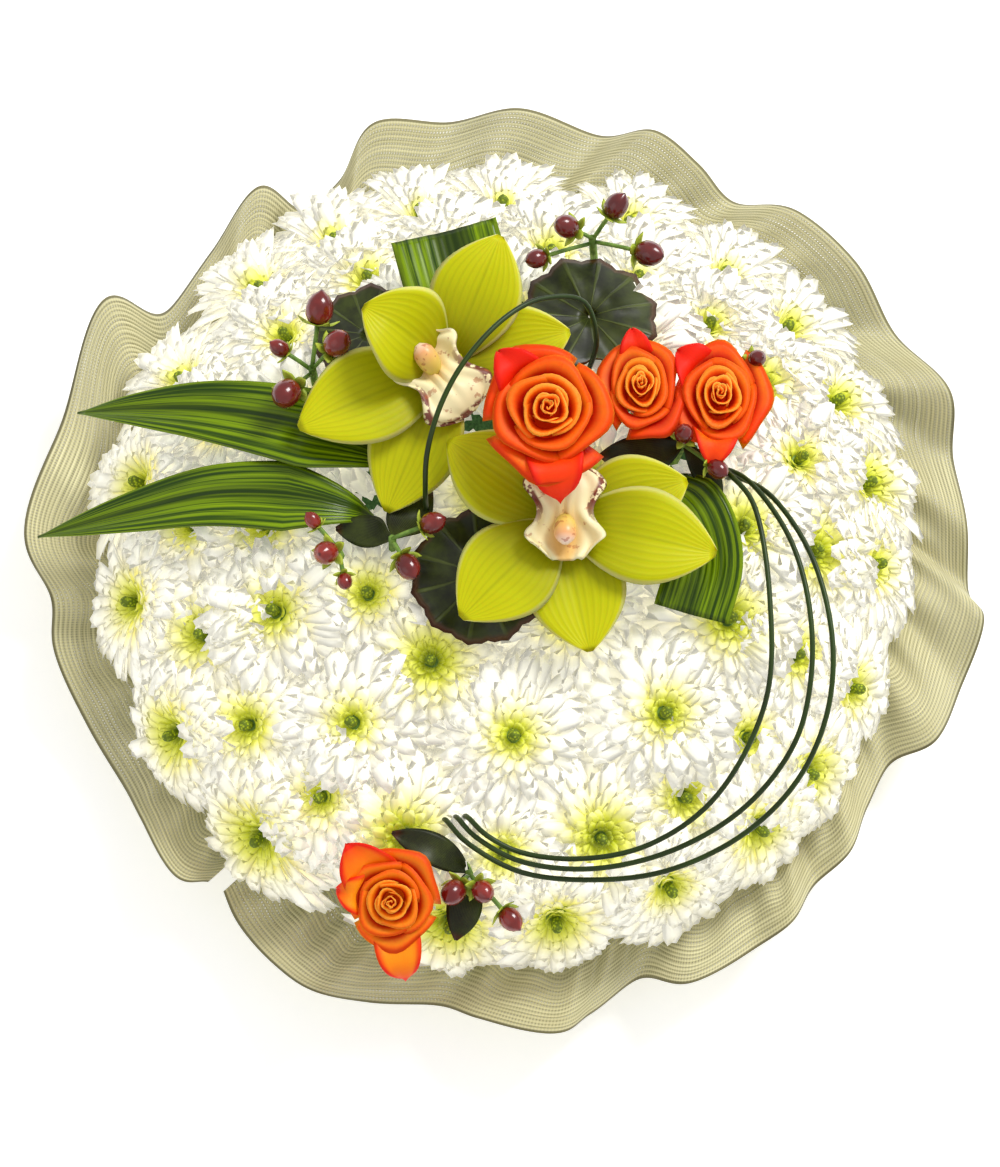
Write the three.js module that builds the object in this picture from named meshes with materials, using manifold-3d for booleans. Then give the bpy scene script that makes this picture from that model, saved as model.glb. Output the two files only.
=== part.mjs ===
// Sympathy posy: a round floral tribute that lies flat. A polystyrene disc carries a pad of
// floral foam. White double chrysanthemums cover the foam as a dome, a woven ribbon is
// gathered round the rim, and two sprays of orchids, roses, berries and leaves stand on top,
// joined by loops of steel grass. Millimetres, +Z up, origin at the middle of the underside.
// +Y is the side where the larger spray lies.

import * as THREE from 'three';
import { mergeVertices } from 'three/addons/utils/BufferGeometryUtils.js';
import Module from 'manifold-3d';

const wasm = await Module();
wasm.setup();

// Driving dimensions

const CLEAR = 0.3;              // gap between pieces that touch
const BASE_RADIUS = 125;        // a ten inch posy pad
const BASE_HEIGHT = 18;
const FOAM_RADIUS = 123;
const FOAM_TOP = 52;
const FOAM_BEVEL = 13;
const STEM_DEPTH = 25;          // how far a stem is pushed into the foam

// The dome that the backs of the flower heads follow: a flattened superellipse
const DOME_RADIUS = 136;
const DOME_FOOT = 36;           // height at which its side is upright
const DOME_RISE = 44;
const DOME_POWER = 2.2;
const FLOWER_DEPTH = 12;        // from the dome to the heads' eyes

// A chrysanthemum head in its own frame: its middle is the origin and it faces along +Z.
// Each tier of petals has the radius and height of its tips and of the notches between.
const HEAD_LIFT = 4;            // from the dome to the head's middle
const HEAD_PETALS = 8;          // in one tier
const HEAD_EYE = 9;             // height of the sunk eye
const HEAD_CROWN = { radius: 9.5, height: 11.4 }; // the short petals round the eye
const HEAD_TIERS = [
  { tip: [20.5, 8.6], notch: [15.5, 4.6] },
  { tip: [29, -2], notch: [22.5, -3] },
];
const HEAD_BACK = { radius: 7.5, height: -7, middle: -9 };
const HEAD_REACH = 62;          // heads further apart than this never meet

// Radii of the stems: a chrysanthemum's cut stem and its side stems, an orchid's or rose's,
// a berry sprig's, a berry's, and a round leaf's
const MAIN_STEM = 2;
const SIDE_STEM = 1.4;
const BLOOM_STEM = 2.2;
const SPRIG_STEM = 1.5;
const BERRY_STALK = 0.9;
const LEAF_STALK = 1.3;
const BEND_RISE = 8;            // how far above the foam a stem turns straight down

// Rings of heads: how far the dome point lies from the axis, the scale of the heads, how far
// behind the dome their stems fork, and where each head stands round the ring in degrees.
// Each inner list is one cut stem with its heads, and a head that stands off its ring has its
// own distance from the axis as well.
const HEAD_RINGS = [
  {
    out: 132, size: 1.05, fork: 5,
    stems: [[-151, -130], [-98, -82], [-64, -47.5], [-36, -21], [-1, 12], [26, 40], [53, 70],
      [90, 103], [117, 131], [150, 168], [187]],
  },
  {
    out: 112, size: 1.0, fork: 9,
    stems: [[-163, -144, -125], [-108, -90, -72], [-55, -39, -21], [-1, 17, 33],
      [48, 64, 81], [98, 116, 135], [155, 176]],
  },
  {
    out: 86, size: 1.12, fork: 12,
    stems: [[-162, -128.5], [[-87, 73], -48], [-20, 3], [58, 86], [112], [148, 176]],
  },
  { out: 53, size: 1.05, fork: 16, stems: [[-156, -119]] },
  { out: 38, size: 1.0, fork: 18, stems: [[-50]] },
  { out: 27, size: 0.9, fork: 18, stems: [[[113, 15], [33, 40]]] },
];
const SEED = 11;

// The ribbon: one length, glued to the disc's side along one edge and gathered outwards.
// The outer edge is given as angle in degrees, distance from the axis, and height.
const RIBBON_THICKNESS = 0.7;
const RIBBON_FOOT = 3;          // height of the glued edge
const RIBBON_GLUED = 17;        // height where it leaves the disc
const RIBBON_STEPS = 86;
const RIBBON_ROWS = [-0.3, 0, 0.5, 1]; // across: the glued edge, the disc's rim, the outer edge
const RIBBON_EDGE = [
  [229.5, 160, 29], [233, 165, 23], [240.8, 172, 32], [246, 175, 39], [253, 170, 25],
  [261, 165, 21], [267, 170, 33], [276, 177, 38], [281, 170, 25], [288, 161, 18],
  [294, 172, 38], [303, 171, 30], [308, 172, 38], [314.5, 166, 24], [320, 168, 32],
  [327, 163, 22], [333, 162, 20], [338, 175, 37], [345.5, 178, 29], [353.5, 182, 39],
  [358.5, 177, 25], [365.5, 177, 35], [375, 179, 25], [382, 184, 42], [392.5, 180, 27],
  [402, 182, 42], [411, 182, 42], [419.5, 177, 24], [425, 180, 37], [431, 184, 44],
  [438, 182, 29], [448, 184, 43], [456.5, 184, 31], [465.5, 185, 43], [472, 172, 27],
  [477, 169, 21], [482, 179, 42], [491, 173, 27], [500, 170, 20], [506, 185, 47],
  [520, 180, 29], [536, 181, 43], [543, 172, 23], [550, 172, 32], [560, 167, 22],
  [568, 164, 20], [575, 165, 31], [584, 169, 38], [587, 161, 27],
];

// Orchids: at is the back of the flower, where its petals join, faces is the way it looks,
// and foam is where its stem enters the foam. Each petal has its direction in degrees, its
// length, its width and how far its tip stands in front of the back. lip is a direction too.
const ORCHID_PETAL_THICKNESS = 1.2;
const ORCHID_HUB = { radius: 8, height: 4 }; // where the petals and the stem join
const LIP_THICKNESS = 1.6;
// Distances along the lip's direction, and heights: the lip from its root to its tip, and the
// column that stands over its root, whose length is from its middle to its end
const COLUMN = { radius: 4, length: 8.8, way: [1, 1.1], middle: [3, 11.8] };
const LIP_LINE = [[-4, 4.95], [3, 5.55], [10, 9], [17, 10.8], [22, 8]];
const LIP_WIDTH = { least: 6, more: 8 }; // half widths: at the ends, and added between them
const ORCHIDS = [
  {
    at: [-20, 60, 102], faces: [0.03, -0.08, 1], foam: [-26, 57], lip: -42,
    petals: [[68, 50, 33, 10], [160, 33, 32, 22], [205, 60, 35, 7], [248, 59, 33, -3], [15, 46, 30, 4]],
  },
  {
    at: [21, 0, 104], faces: [0.02, -0.08, 1], foam: [25, -2], lip: 90,
    petals: [[282, 49, 36, 2], [225, 51, 36, 2], [145, 50, 34, 5], [347, 57, 36, 6], [18, 48, 32, 2]],
  },
];

// Roses: at is the base of the petals, turn is the bloom's turn about its own axis, and rows
// is how many rows of open petals it has
const ROSE_SIDES = 9;
const ROSES = [
  { at: [16, 36, 114], faces: [0, -0.1, 1], size: 0.88, foam: [8, 40], turn: 0, rows: 2 },
  { at: [48, 44, 94], faces: [0, 0.12, 1], size: 0.68, foam: [46, 46], turn: 45, rows: 1 },
  { at: [80, 44, 90], faces: [0.05, 0.05, 1], size: 0.76, foam: [76, 46], turn: 95, rows: 1 },
  { at: [-39, -132, 74], faces: [-0.05, -0.35, 1], size: 0.7, foam: [-50, -101], turn: 150, rows: 2 },
];
// The close middle of a rose from its outer wall up and inwards: radius, height, and how much
// a rim dips between two petals
const ROSE_CORE = [
  [8, 0, 0], [14.5, 12, 0], [15.5, 29, 3], [12.5, 22, 0], [10.5, 31.5, 3], [7.5, 23, 0],
  [5.5, 33, 2], [3, 27, 0],
];
const ROSE_CORE_MIDDLE = 30;
// The open petals round it, three in each row: radius and height along a petal's middle, half
// its width, how far its edges curl in, and the row's turn in degrees
const ROSE_ROWS = [
  { line: [[9, 4], [17, 10], [20, 20], [22.5, 30]], halfWidth: 16, curl: 8, turn: 100 },
  { line: [[9, 3], [20, 7], [25.5, 17], [29.5, 27]], halfWidth: 16, curl: 5, turn: 40 },
];

// Berry sprigs: where the stem enters the foam, where it forks, and for each berry its middle
// and its length
const BERRY_WIDTH = 0.8;        // of its length
const FORK_STEP = 1.5;          // one berry's stalk leaves the stem this far below the last
// From its flared calyx to its tip: radius and height, against half its width and its length
const BERRY_OUTLINE = [[0, -0.5], [0.95, -0.42], [0.68, -0.32], [1, 0], [0.62, 0.3], [0, 0.52]];
const SPRIGS = [
  {
    foam: [35, 110], fork: [33, 111, 97],
    berries: [[23, 111, 110, 11], [42, 120, 108, 11], [54, 101, 108, 12], [12, 100, 105, 9]],
  },
  {
    foam: [-69, 59], fork: [-70, 60, 99],
    berries: [[-67, 80, 108, 13], [-60, 65, 113, 12], [-82, 66, 104, 8], [-79, 47, 108, 13]],
  },
  {
    foam: [-57, -8], fork: [-60, -8, 96],
    berries: [[-69, 1, 103, 7], [-64, -12, 105, 11], [-57, -22, 102, 7]],
  },
  { foam: [-41, -5], fork: [-40, -6, 103], berries: [[-25, -2, 110, 10], [-34, -18, 107, 11]] },
  { foam: [63, 33], fork: [66, 31, 99], berries: [[65.5, 31.5, 110, 9], [78, 19, 106, 9]] },
  { foam: [86, 66], fork: [88, 64, 95], berries: [[93, 62, 104, 8]] },
  {
    foam: [-17, -110], fork: [-12, -124, 75],
    berries: [[-18, -132, 82, 11], [-7, -132, 84, 10], [3, -141, 78, 10]],
    leaves: [{ line: [[-25, -116, 82], [-40, -110, 82]], width: 12 },
      { line: [[-14, -136, 73], [-17, -147, 70]], width: 13 }],
  },
];

// Long leaves: the middle line from inside the foam to the tip, the width, how deeply the
// leaf is folded along its middle, and whether its end is cut square
const LEAF_THICKNESS = 1;
const PETIOLE_WIDTH = 3;
const LONG_LEAVES = {
  strap_leaf_1: {
    foam: [-38, 27],
    line: [[-38, 27, 80], [-46, 29, 92], [-70, 36, 97], [-105, 45, 90], [-135, 51, 75], [-160, 55, 59]],
    width: 32, fold: 0.25, cut: false,
  },
  strap_leaf_2: {
    foam: [-46, 7],
    line: [[-46, 7, 78], [-54, 8, 90], [-75, 11, 94], [-105, 13, 90], [-135, 11, 77],
      [-160, 9, 63], [-174, 8, 54]],
    width: 28, fold: 0.25, cut: false,
  },
  cut_leaf_top: {
    foam: [-10, 72],
    line: [[-10, 72, 82], [-13, 80, 95], [-17, 94, 98], [-22, 113, 98]],
    width: 40, fold: 0.1, cut: true,
  },
  cut_leaf_right: {
    foam: [53, 24],
    line: [[53, 24, 80], [58, 17, 92], [69, 4, 96], [73, -12, 95], [68, -32, 93]],
    width: 28, fold: 0.15, cut: true,
  },
};

// Round leaves with toothed edges, which follow the dome: middle, radius, height above the
// flowers, the direction of the leaf stalk in degrees and where it enters the foam
const STALK_SHARE = 0.3;        // where the stalk joins, from the leaf's middle to the foam hole
const ROUND_LEAVES = {
  round_leaf_top: { middle: [32, 82.5], radius: 26, lift: 8.4, foam: [34, 66], teeth: 11 },
  round_leaf_left: { middle: [-50, 76], radius: 21, lift: 8, foam: [-46, 70], teeth: 10 },
  round_leaf_bottom: { middle: [-8, -18], radius: 26, lift: 5, foam: [-6, -14], teeth: 11 },
};

// Steel grass: each blade of it as a chain of points above the foam, which it enters straight
// below the first and the last
const GRASS_RADIUS = 1.1;
const GRASS_STEPS = 27;
const GRASS_LOOPS = {
  grass_loop_small: [[30, 57, 92], [34, 66, 115], [29, 76, 127], [14, 74, 136], [1, 65, 142],
    [-13.5, 48, 144], [-22, 33, 140], [-27, 19, 128], [-28, 9, 110], [-28, 8, 90]],
  grass_loop_1: [[77, 28, 86], [82, 18, 104], [90, 4, 113], [95, -33, 117], [93, -69, 113],
    [75, -102, 105], [52, -117, 96], [28, -121, 90], [6, -118, 87],
    [-6, -112, 88], [-13, -104, 82]],
  grass_loop_2: [[80, 25, 86], [90, 14, 105], [103, -10, 115], [109, -36, 118], [109, -62, 116],
    [103, -84, 112], [86, -105, 105], [61, -119, 97], [32, -125, 92], [6, -121.5, 88],
    [-10, -112, 85], [-17, -103, 77]],
  grass_loop_3: [[83.5, 22, 86], [97, 9, 106], [111, -18, 116], [117, -50, 118], [114, -76, 114],
    [103, -98, 108], [84, -115, 100], [58, -126, 93], [32, -128.5, 89], [6, -125, 86],
    [-13, -114, 84], [-21, -104, 77]],
};

// Colours, and how rough each surface is

const FINISH = {
  base: { color: 0xe9ebe6, roughness: 0.85 },
  foam: { color: 0x4b7a4a, roughness: 0.95 },
  ribbon: { color: 0xbdbb9c, roughness: 0.85 },
  white: { color: 0xf6f6ee, roughness: 0.7 },
  orchid: { color: 0xb9c41f, roughness: 0.5 },
  lip: { color: 0xf0e4b4, roughness: 0.5 },
  rose: { color: 0xf96a12, roughness: 0.6 },
  stem: { color: 0x6f8f3a, roughness: 0.7 },
  berry: { color: 0x7d1a1f, roughness: 0.25 },
  strap: { color: 0x3f8216, roughness: 0.4 },
  dark_leaf: { color: 0x24331a, roughness: 0.4 },
  grass: { color: 0x1f3d18, roughness: 0.45 },
};

// Small helpers

const posy = new THREE.Group();
const foamHoles = [];
const stems = [];
const UP = new THREE.Vector3(0, 0, 1);

function spot([x, y, z]) {
  return new THREE.Vector3(x, y, z);
}

function radians(angle) {
  return THREE.MathUtils.degToRad(angle);
}

function randomFrom(seed) {
  let state = seed;
  return () => {
    state = (state * 1664525 + 1013904223) % 4294967296;
    return state / 4294967296;
  };
}

function domeHeight(out, proud = 0) {
  const inside = Math.max(0, 1 - (out / (DOME_RADIUS + proud)) ** DOME_POWER);
  return DOME_FOOT + (DOME_RISE + proud) * inside ** (1 / DOME_POWER);
}

// A point of the dome and the way its surface faces there
function domePlace(out, angle) {
  const height = domeHeight(out);
  const outward = (out / DOME_RADIUS) ** (DOME_POWER - 1) / DOME_RADIUS;
  const upward = ((height - DOME_FOOT) / DOME_RISE) ** (DOME_POWER - 1) / DOME_RISE;
  const [x, y] = [Math.cos(angle), Math.sin(angle)];
  return {
    at: new THREE.Vector3(x * out, y * out, height),
    facing: new THREE.Vector3(x * outward, y * outward, upward).normalize(),
  };
}

function add(name, geometry, finish) {
  const material = new THREE.MeshStandardMaterial({ ...FINISH[finish], metalness: 0 });
  material.name = finish;
  const mesh = new THREE.Mesh(geometry, material);
  mesh.name = name;
  posy.add(mesh);
  return mesh;
}

function toSolid(geometry) {
  const bare = geometry.clone();
  bare.deleteAttribute('normal');
  bare.deleteAttribute('uv');
  const merged = mergeVertices(bare, 1e-4);
  return new wasm.Manifold(new wasm.Mesh({
    numProp: 3,
    vertProperties: new Float32Array(merged.attributes.position.array),
    triVerts: new Uint32Array(merged.index.array),
  }));
}

function toGeometry(solid) {
  const { vertProperties, triVerts } = solid.getMesh();
  return indexed(vertProperties, triVerts);
}

function indexed(positions, corners) {
  const geometry = new THREE.BufferGeometry();
  geometry.setAttribute('position', new THREE.Float32BufferAttribute(positions, 3));
  geometry.setIndex(Array.from(corners));
  geometry.computeVertexNormals();
  return geometry;
}

function fuse(geometries) {
  return toGeometry(geometries.map(toSolid).reduce((whole, piece) => whole.add(piece)));
}

// A straight round stick with few sides
function stick(from, to, radius, sides = 4) {
  const way = to.clone().sub(from);
  const geometry = new THREE.CylinderGeometry(radius, radius, way.length(), sides);
  const turn = new THREE.Quaternion();
  turn.setFromUnitVectors(new THREE.Vector3(0, 1, 0), way.normalize());
  geometry.applyQuaternion(turn);
  geometry.translate(...from.clone().add(to).multiplyScalar(0.5).toArray());
  return geometry;
}

// The last stretch of a stem: it stands in a hole of its own in the foam
function plantedStick(from, to, radius, sides = 4) {
  const way = to.clone().sub(from).normalize();
  const wide = radius + CLEAR / Math.cos(Math.PI / sides);
  foamHoles.push(stick(from, to.clone().addScaledVector(way, CLEAR), wide, sides));
  return stick(from, to, radius, sides);
}

// A closed sheet between two grids of points, split into triangles alike on both faces
function closedSheet(steps, across, face, back) {
  const positions = [];
  for (const side of [face, back]) {
    for (let i = 0; i <= steps; i += 1) {
      for (let j = 0; j <= across; j += 1) positions.push(...side(i, j).toArray());
    }
  }
  const corners = [];
  const front = (i, j) => i * (across + 1) + j;
  const rear = (i, j) => (steps + 1) * (across + 1) + front(i, j);
  const quad = (a, b, c, d) => corners.push(a, b, c, a, c, d);
  for (let i = 0; i < steps; i += 1) {
    for (let j = 0; j < across; j += 1) {
      quad(front(i, j), front(i, j + 1), front(i + 1, j + 1), front(i + 1, j));
      corners.push(rear(i, j), rear(i + 1, j + 1), rear(i, j + 1));
      corners.push(rear(i, j), rear(i + 1, j), rear(i + 1, j + 1));
    }
    quad(front(i, 0), front(i + 1, 0), rear(i + 1, 0), rear(i, 0));
    quad(front(i, across), rear(i, across), rear(i + 1, across), front(i + 1, across));
  }
  for (let j = 0; j < across; j += 1) {
    quad(front(0, j), rear(0, j), rear(0, j + 1), front(0, j + 1));
    quad(front(steps, j), front(steps, j + 1), rear(steps, j + 1), rear(steps, j));
  }
  return indexed(positions, corners);
}

// A petal or leaf along a line of points. halfWidth and rise are functions of how far along
// it is, from 0 to 1. rise says how far the edges stand up, and folded makes that a straight
// fold in place of a bowl.
function blade({ line, halfWidth, rise, folded = false, thickness, steps, across = 2, side }) {
  const curve = new THREE.CatmullRomCurve3(line, false, 'centripetal');
  const heading = line[line.length - 1].clone().sub(line[0]);
  const sideways = side ?? heading.cross(UP).normalize();
  const place = (i, j, offset) => {
    const along = i / steps;
    const spread = (2 * j) / across - 1;
    const tangent = curve.getTangentAt(along);
    const lateral = sideways.clone().addScaledVector(tangent, -tangent.dot(sideways)).normalize();
    const normal = lateral.clone().cross(tangent);
    const lift = rise(along) * (folded ? Math.abs(spread) : spread * spread);
    return curve.getPointAt(along)
      .addScaledVector(lateral, halfWidth(along) * spread)
      .addScaledVector(normal, lift + offset);
  };
  const half = thickness / 2;
  return closedSheet(steps, across, (i, j) => place(i, j, half), (i, j) => place(i, j, -half));
}

// Base and foam

function makeBase() {
  const outline = [[0, 0], [BASE_RADIUS, 0], [BASE_RADIUS, BASE_HEIGHT], [0, BASE_HEIGHT]];
  return add('base_disc', turned(outline, 36), 'base');
}

function turned(outline, sides) {
  const geometry = new THREE.LatheGeometry(outline.map(([x, y]) => new THREE.Vector2(x, y)), sides);
  geometry.rotateX(Math.PI / 2);
  return geometry;
}

function makeFoam() {
  const bottom = BASE_HEIGHT + CLEAR;
  const outline = [[0, bottom], [FOAM_RADIUS, bottom], [FOAM_RADIUS, FOAM_TOP - FOAM_BEVEL],
    [FOAM_RADIUS - FOAM_BEVEL, FOAM_TOP], [0, FOAM_TOP]];
  let pad = toSolid(turned(outline, 36));
  for (const hole of foamHoles) pad = pad.subtract(toSolid(hole));
  return add('foam_pad', toGeometry(pad), 'foam');
}

// Ribbon

function makeRibbon() {
  const edge = new THREE.CatmullRomCurve3(RIBBON_EDGE.map(([angle, out, height]) => {
    return new THREE.Vector3(angle, out, height);
  }), false, 'centripetal');
  const inner = BASE_RADIUS + CLEAR + RIBBON_THICKNESS / 2;
  const [first, last] = [RIBBON_EDGE[0][0], RIBBON_EDGE[RIBBON_EDGE.length - 1][0]];
  const place = (i, j, offset) => {
    const outer = edge.getPoint(i / RIBBON_STEPS);
    const row = RIBBON_ROWS[j];
    const free = Math.max(0, row);
    const even = first + ((last - first) * i) / RIBBON_STEPS;
    const angle = radians(THREE.MathUtils.lerp(even, outer.x, free));
    const out = THREE.MathUtils.lerp(inner, outer.y, free);
    const glued = THREE.MathUtils.lerp(RIBBON_GLUED, RIBBON_FOOT, Math.max(0, -row / 0.3));
    const height = row < 0 ? glued : THREE.MathUtils.lerp(RIBBON_GLUED, outer.z, free ** 2);
    const outward = new THREE.Vector3(Math.cos(angle), Math.sin(angle), 0);
    const shift = row <= 0 ? outward.clone().multiplyScalar(-offset) : UP.clone().multiplyScalar(offset);
    if (row === 0) shift.addScaledVector(UP, offset);
    return outward.multiplyScalar(out).setZ(height).add(shift);
  };
  const half = RIBBON_THICKNESS / 2;
  const across = RIBBON_ROWS.length - 1;
  const sheet = closedSheet(RIBBON_STEPS, across, (i, j) => place(i, j, half), (i, j) => place(i, j, -half));
  return add('ribbon_collar', sheet, 'ribbon');
}

// Chrysanthemums

function listHeads() {
  const random = randomFrom(SEED);
  return HEAD_RINGS.flatMap((ring) => ring.stems.map((entries) => {
    const places = entries.map((entry) => [entry].flat());
    const middle = places.reduce((sum, [angle]) => sum + angle, 0) / places.length;
    const root = domePlace(ring.out, radians(middle));
    const fork = root.at.clone().addScaledVector(root.facing, -ring.fork);
    const heads = places.map(([angle, out = ring.out]) => {
      const { at, facing } = domePlace(out, radians(angle));
      const size = ring.size * (0.97 + 0.06 * random());
      return { at: at.addScaledVector(facing, HEAD_LIFT), facing, size, spin: random() * Math.PI };
    });
    return { fork, facing: root.facing, heads };
  }));
}

// The planes that a head's petals stop at: halfway to each neighbour, and short of each stem
function wallsOf(head, heads) {
  const walls = [];
  for (const other of heads) {
    const way = other.at.clone().sub(head.at);
    const apart = way.length();
    if (other === head || apart > HEAD_REACH) continue;
    walls.push({ direction: way.normalize(), distance: (apart - CLEAR) / 2 });
  }
  for (const { from, to, radius } of stems) {
    const nearest = new THREE.Line3(from, to).closestPointToPoint(head.at, true, new THREE.Vector3());
    const way = nearest.sub(head.at);
    const apart = way.length();
    if (apart > HEAD_REACH / 2) continue;
    walls.push({ direction: way.normalize(), distance: apart - radius - CLEAR });
  }
  return walls;
}

function headGeometry(head, walls) {
  const across = new THREE.Vector3(1, 0, 0).cross(head.facing).normalize();
  const along = head.facing.clone().cross(across);
  const positions = [];
  const corner = (angle, radius, height) => {
    const arm = new THREE.Vector3()
      .addScaledVector(across, Math.cos(angle) * radius * head.size)
      .addScaledVector(along, Math.sin(angle) * radius * head.size)
      .addScaledVector(head.facing, height * head.size);
    let keep = 1;
    for (const { direction, distance } of walls) {
      const reach = arm.dot(direction);
      if (reach > distance) keep = Math.min(keep, distance / reach);
    }
    positions.push(...arm.multiplyScalar(keep).add(head.at).toArray());
    return positions.length / 3 - 1;
  };
  const turn = (step) => head.spin + (step * Math.PI) / HEAD_PETALS;
  const sparse = ({ radius, height }) => {
    return Array.from({ length: HEAD_PETALS }, (_, k) => corner(turn(2 * k), radius, height));
  };
  const tier = ({ tip, notch }, level) => Array.from({ length: 2 * HEAD_PETALS }, (_, k) => {
    const [radius, height] = (k + level) % 2 === 0 ? tip : notch;
    return corner(turn(k), radius, height);
  });
  const top = corner(0, 0, HEAD_EYE);
  const crown = sparse(HEAD_CROWN);
  const [inner, outer] = HEAD_TIERS.map(tier);
  const back = sparse(HEAD_BACK);
  const bottom = corner(0, 0, HEAD_BACK.middle);
  const corners = [];
  for (let k = 0; k < HEAD_PETALS; k += 1) {
    const next = (k + 1) % HEAD_PETALS;
    const [a, b, c] = [2 * k, 2 * k + 1, (2 * k + 2) % (2 * HEAD_PETALS)];
    corners.push(top, crown[k], crown[next], bottom, back[next], back[k]);
    corners.push(crown[k], inner[a], inner[b], crown[k], inner[b], crown[next]);
    corners.push(crown[next], inner[b], inner[c]);
    corners.push(inner[a], outer[a], outer[b], inner[a], outer[b], inner[b]);
    corners.push(inner[b], outer[b], inner[c], inner[c], outer[b], outer[c]);
    corners.push(back[k], outer[b], outer[a], back[k], back[next], outer[b]);
    corners.push(back[next], outer[c], outer[b]);
  }
  return indexed(positions, corners);
}

function makeChrysanthemums() {
  const sprays = listHeads();
  const all = sprays.flatMap((spray) => spray.heads);
  sprays.forEach((spray, index) => {
    const pieces = spray.heads.flatMap((head) => {
      const back = head.at.clone().addScaledVector(head.facing, HEAD_BACK.height * head.size);
      return [headGeometry(head, wallsOf(head, all)), stick(back, spray.fork, SIDE_STEM, 3)];
    });
    const start = spray.fork.clone().addScaledVector(spray.facing, 1);
    const end = spray.fork.clone().addScaledVector(spray.facing, -(STEM_DEPTH + 7));
    pieces.push(plantedStick(start, end, MAIN_STEM));
    add(`chrysanthemum_spray_${String(index + 1).padStart(2, '0')}`, fuse(pieces), 'white');
  });
}

// Stems of the other flowers: from the back of the bloom to the foam, then upright into it

function uprightStem(from, [x, y], radius) {
  const top = new THREE.Vector3(x, y, FOAM_TOP + BEND_RISE);
  const end = new THREE.Vector3(x, y, FOAM_TOP - STEM_DEPTH);
  stems.push({ from, to: top, radius });
  stems.push({ from: top, to: end, radius });
  return [stick(from, top.clone().setZ(top.z - radius), radius), plantedStick(top, end, radius)];
}

// The turn and place of a bloom that looks along a given way
function bloomFrame({ at, faces, turn = 0 }) {
  const position = spot(at);
  const quaternion = new THREE.Quaternion().setFromUnitVectors(UP, spot(faces).normalize());
  quaternion.multiply(new THREE.Quaternion().setFromAxisAngle(UP, radians(turn)));
  return new THREE.Matrix4().compose(position, quaternion, new THREE.Vector3(1, 1, 1));
}

function seat(mesh, frame) {
  frame.decompose(mesh.position, mesh.quaternion, mesh.scale);
  return mesh;
}

function inFrame(geometries, frame) {
  const back = frame.clone().invert();
  return geometries.map((geometry) => geometry.applyMatrix4(back));
}

// Orchids

const petalOutline = (along) => Math.sin(Math.PI * (0.06 + 0.91 * along ** 1.1));

function orchidPetal([angle, length, width, tip]) {
  const way = new THREE.Vector3(Math.cos(radians(angle)), Math.sin(radians(angle)), 0);
  const line = [[4, 0], [length * 0.35, tip * 0.5 + 1], [length * 0.7, tip * 0.9 + 1], [length, tip]]
    .map(([out, height]) => way.clone().multiplyScalar(out).setZ(height));
  return blade({
    line,
    halfWidth: (along) => Math.max(1.5, (width / 2) * petalOutline(along)),
    rise: (along) => 3.5 * petalOutline(along),
    thickness: ORCHID_PETAL_THICKNESS,
    steps: 5,
  });
}

function orchidLip(angle) {
  const way = new THREE.Vector3(Math.cos(radians(angle)), Math.sin(radians(angle)), 0);
  const at = (out, height) => way.clone().multiplyScalar(out).setZ(height);
  const lip = blade({
    line: LIP_LINE.map(([out, height]) => at(out, height)),
    halfWidth: (along) => LIP_WIDTH.least + LIP_WIDTH.more * Math.sin(Math.PI * along),
    rise: (along) => 6 * (1 - along),
    thickness: LIP_THICKNESS,
    steps: 5,
    across: 4,
  });
  const column = new THREE.SphereGeometry(COLUMN.radius, 6, 4);
  column.scale(1, 1, COLUMN.length / COLUMN.radius);
  column.applyQuaternion(new THREE.Quaternion().setFromUnitVectors(UP, at(...COLUMN.way).normalize()));
  column.translate(...at(...COLUMN.middle).toArray());
  return fuse([lip, column]);
}

function makeOrchids() {
  ORCHIDS.forEach((orchid, index) => {
    const frame = bloomFrame(orchid);
    const hub = new THREE.OctahedronGeometry(ORCHID_HUB.radius);
    hub.scale(1, 1, ORCHID_HUB.height / ORCHID_HUB.radius);
    const stem = inFrame(uprightStem(spot(orchid.at), orchid.foam, BLOOM_STEM), frame);
    const petals = fuse([hub, ...stem, ...orchid.petals.map(orchidPetal)]);
    seat(add(`orchid_${index + 1}_petals`, petals, 'orchid'), frame);
    seat(add(`orchid_${index + 1}_lip`, orchidLip(orchid.lip), 'lip'), frame);
  });
}

// Roses

function roseCore(size) {
  const positions = [0, 0, 0];
  for (const [level, [radius, height, dip]] of ROSE_CORE.entries()) {
    for (let k = 0; k < ROSE_SIDES; k += 1) {
      const angle = (2 * Math.PI * k) / ROSE_SIDES + level * 0.2;
      const gap = (k + level) % 3 === 0 ? 1 : 0;
      const out = (radius - dip * gap * 0.3) * size;
      positions.push(Math.cos(angle) * out, Math.sin(angle) * out, (height - dip * gap) * size);
    }
  }
  positions.push(0, 0, ROSE_CORE_MIDDLE * size);
  const corners = [];
  const at = (level, k) => 1 + level * ROSE_SIDES + (k % ROSE_SIDES);
  const last = ROSE_CORE.length - 1;
  for (let k = 0; k < ROSE_SIDES; k += 1) {
    corners.push(0, at(0, k + 1), at(0, k));
    corners.push(at(last, k), at(last, k + 1), at(last + 1, 0));
    for (let level = 0; level < last; level += 1) {
      corners.push(at(level, k), at(level, k + 1), at(level + 1, k + 1));
      corners.push(at(level, k), at(level + 1, k + 1), at(level + 1, k));
    }
  }
  return indexed(positions, corners);
}

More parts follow.
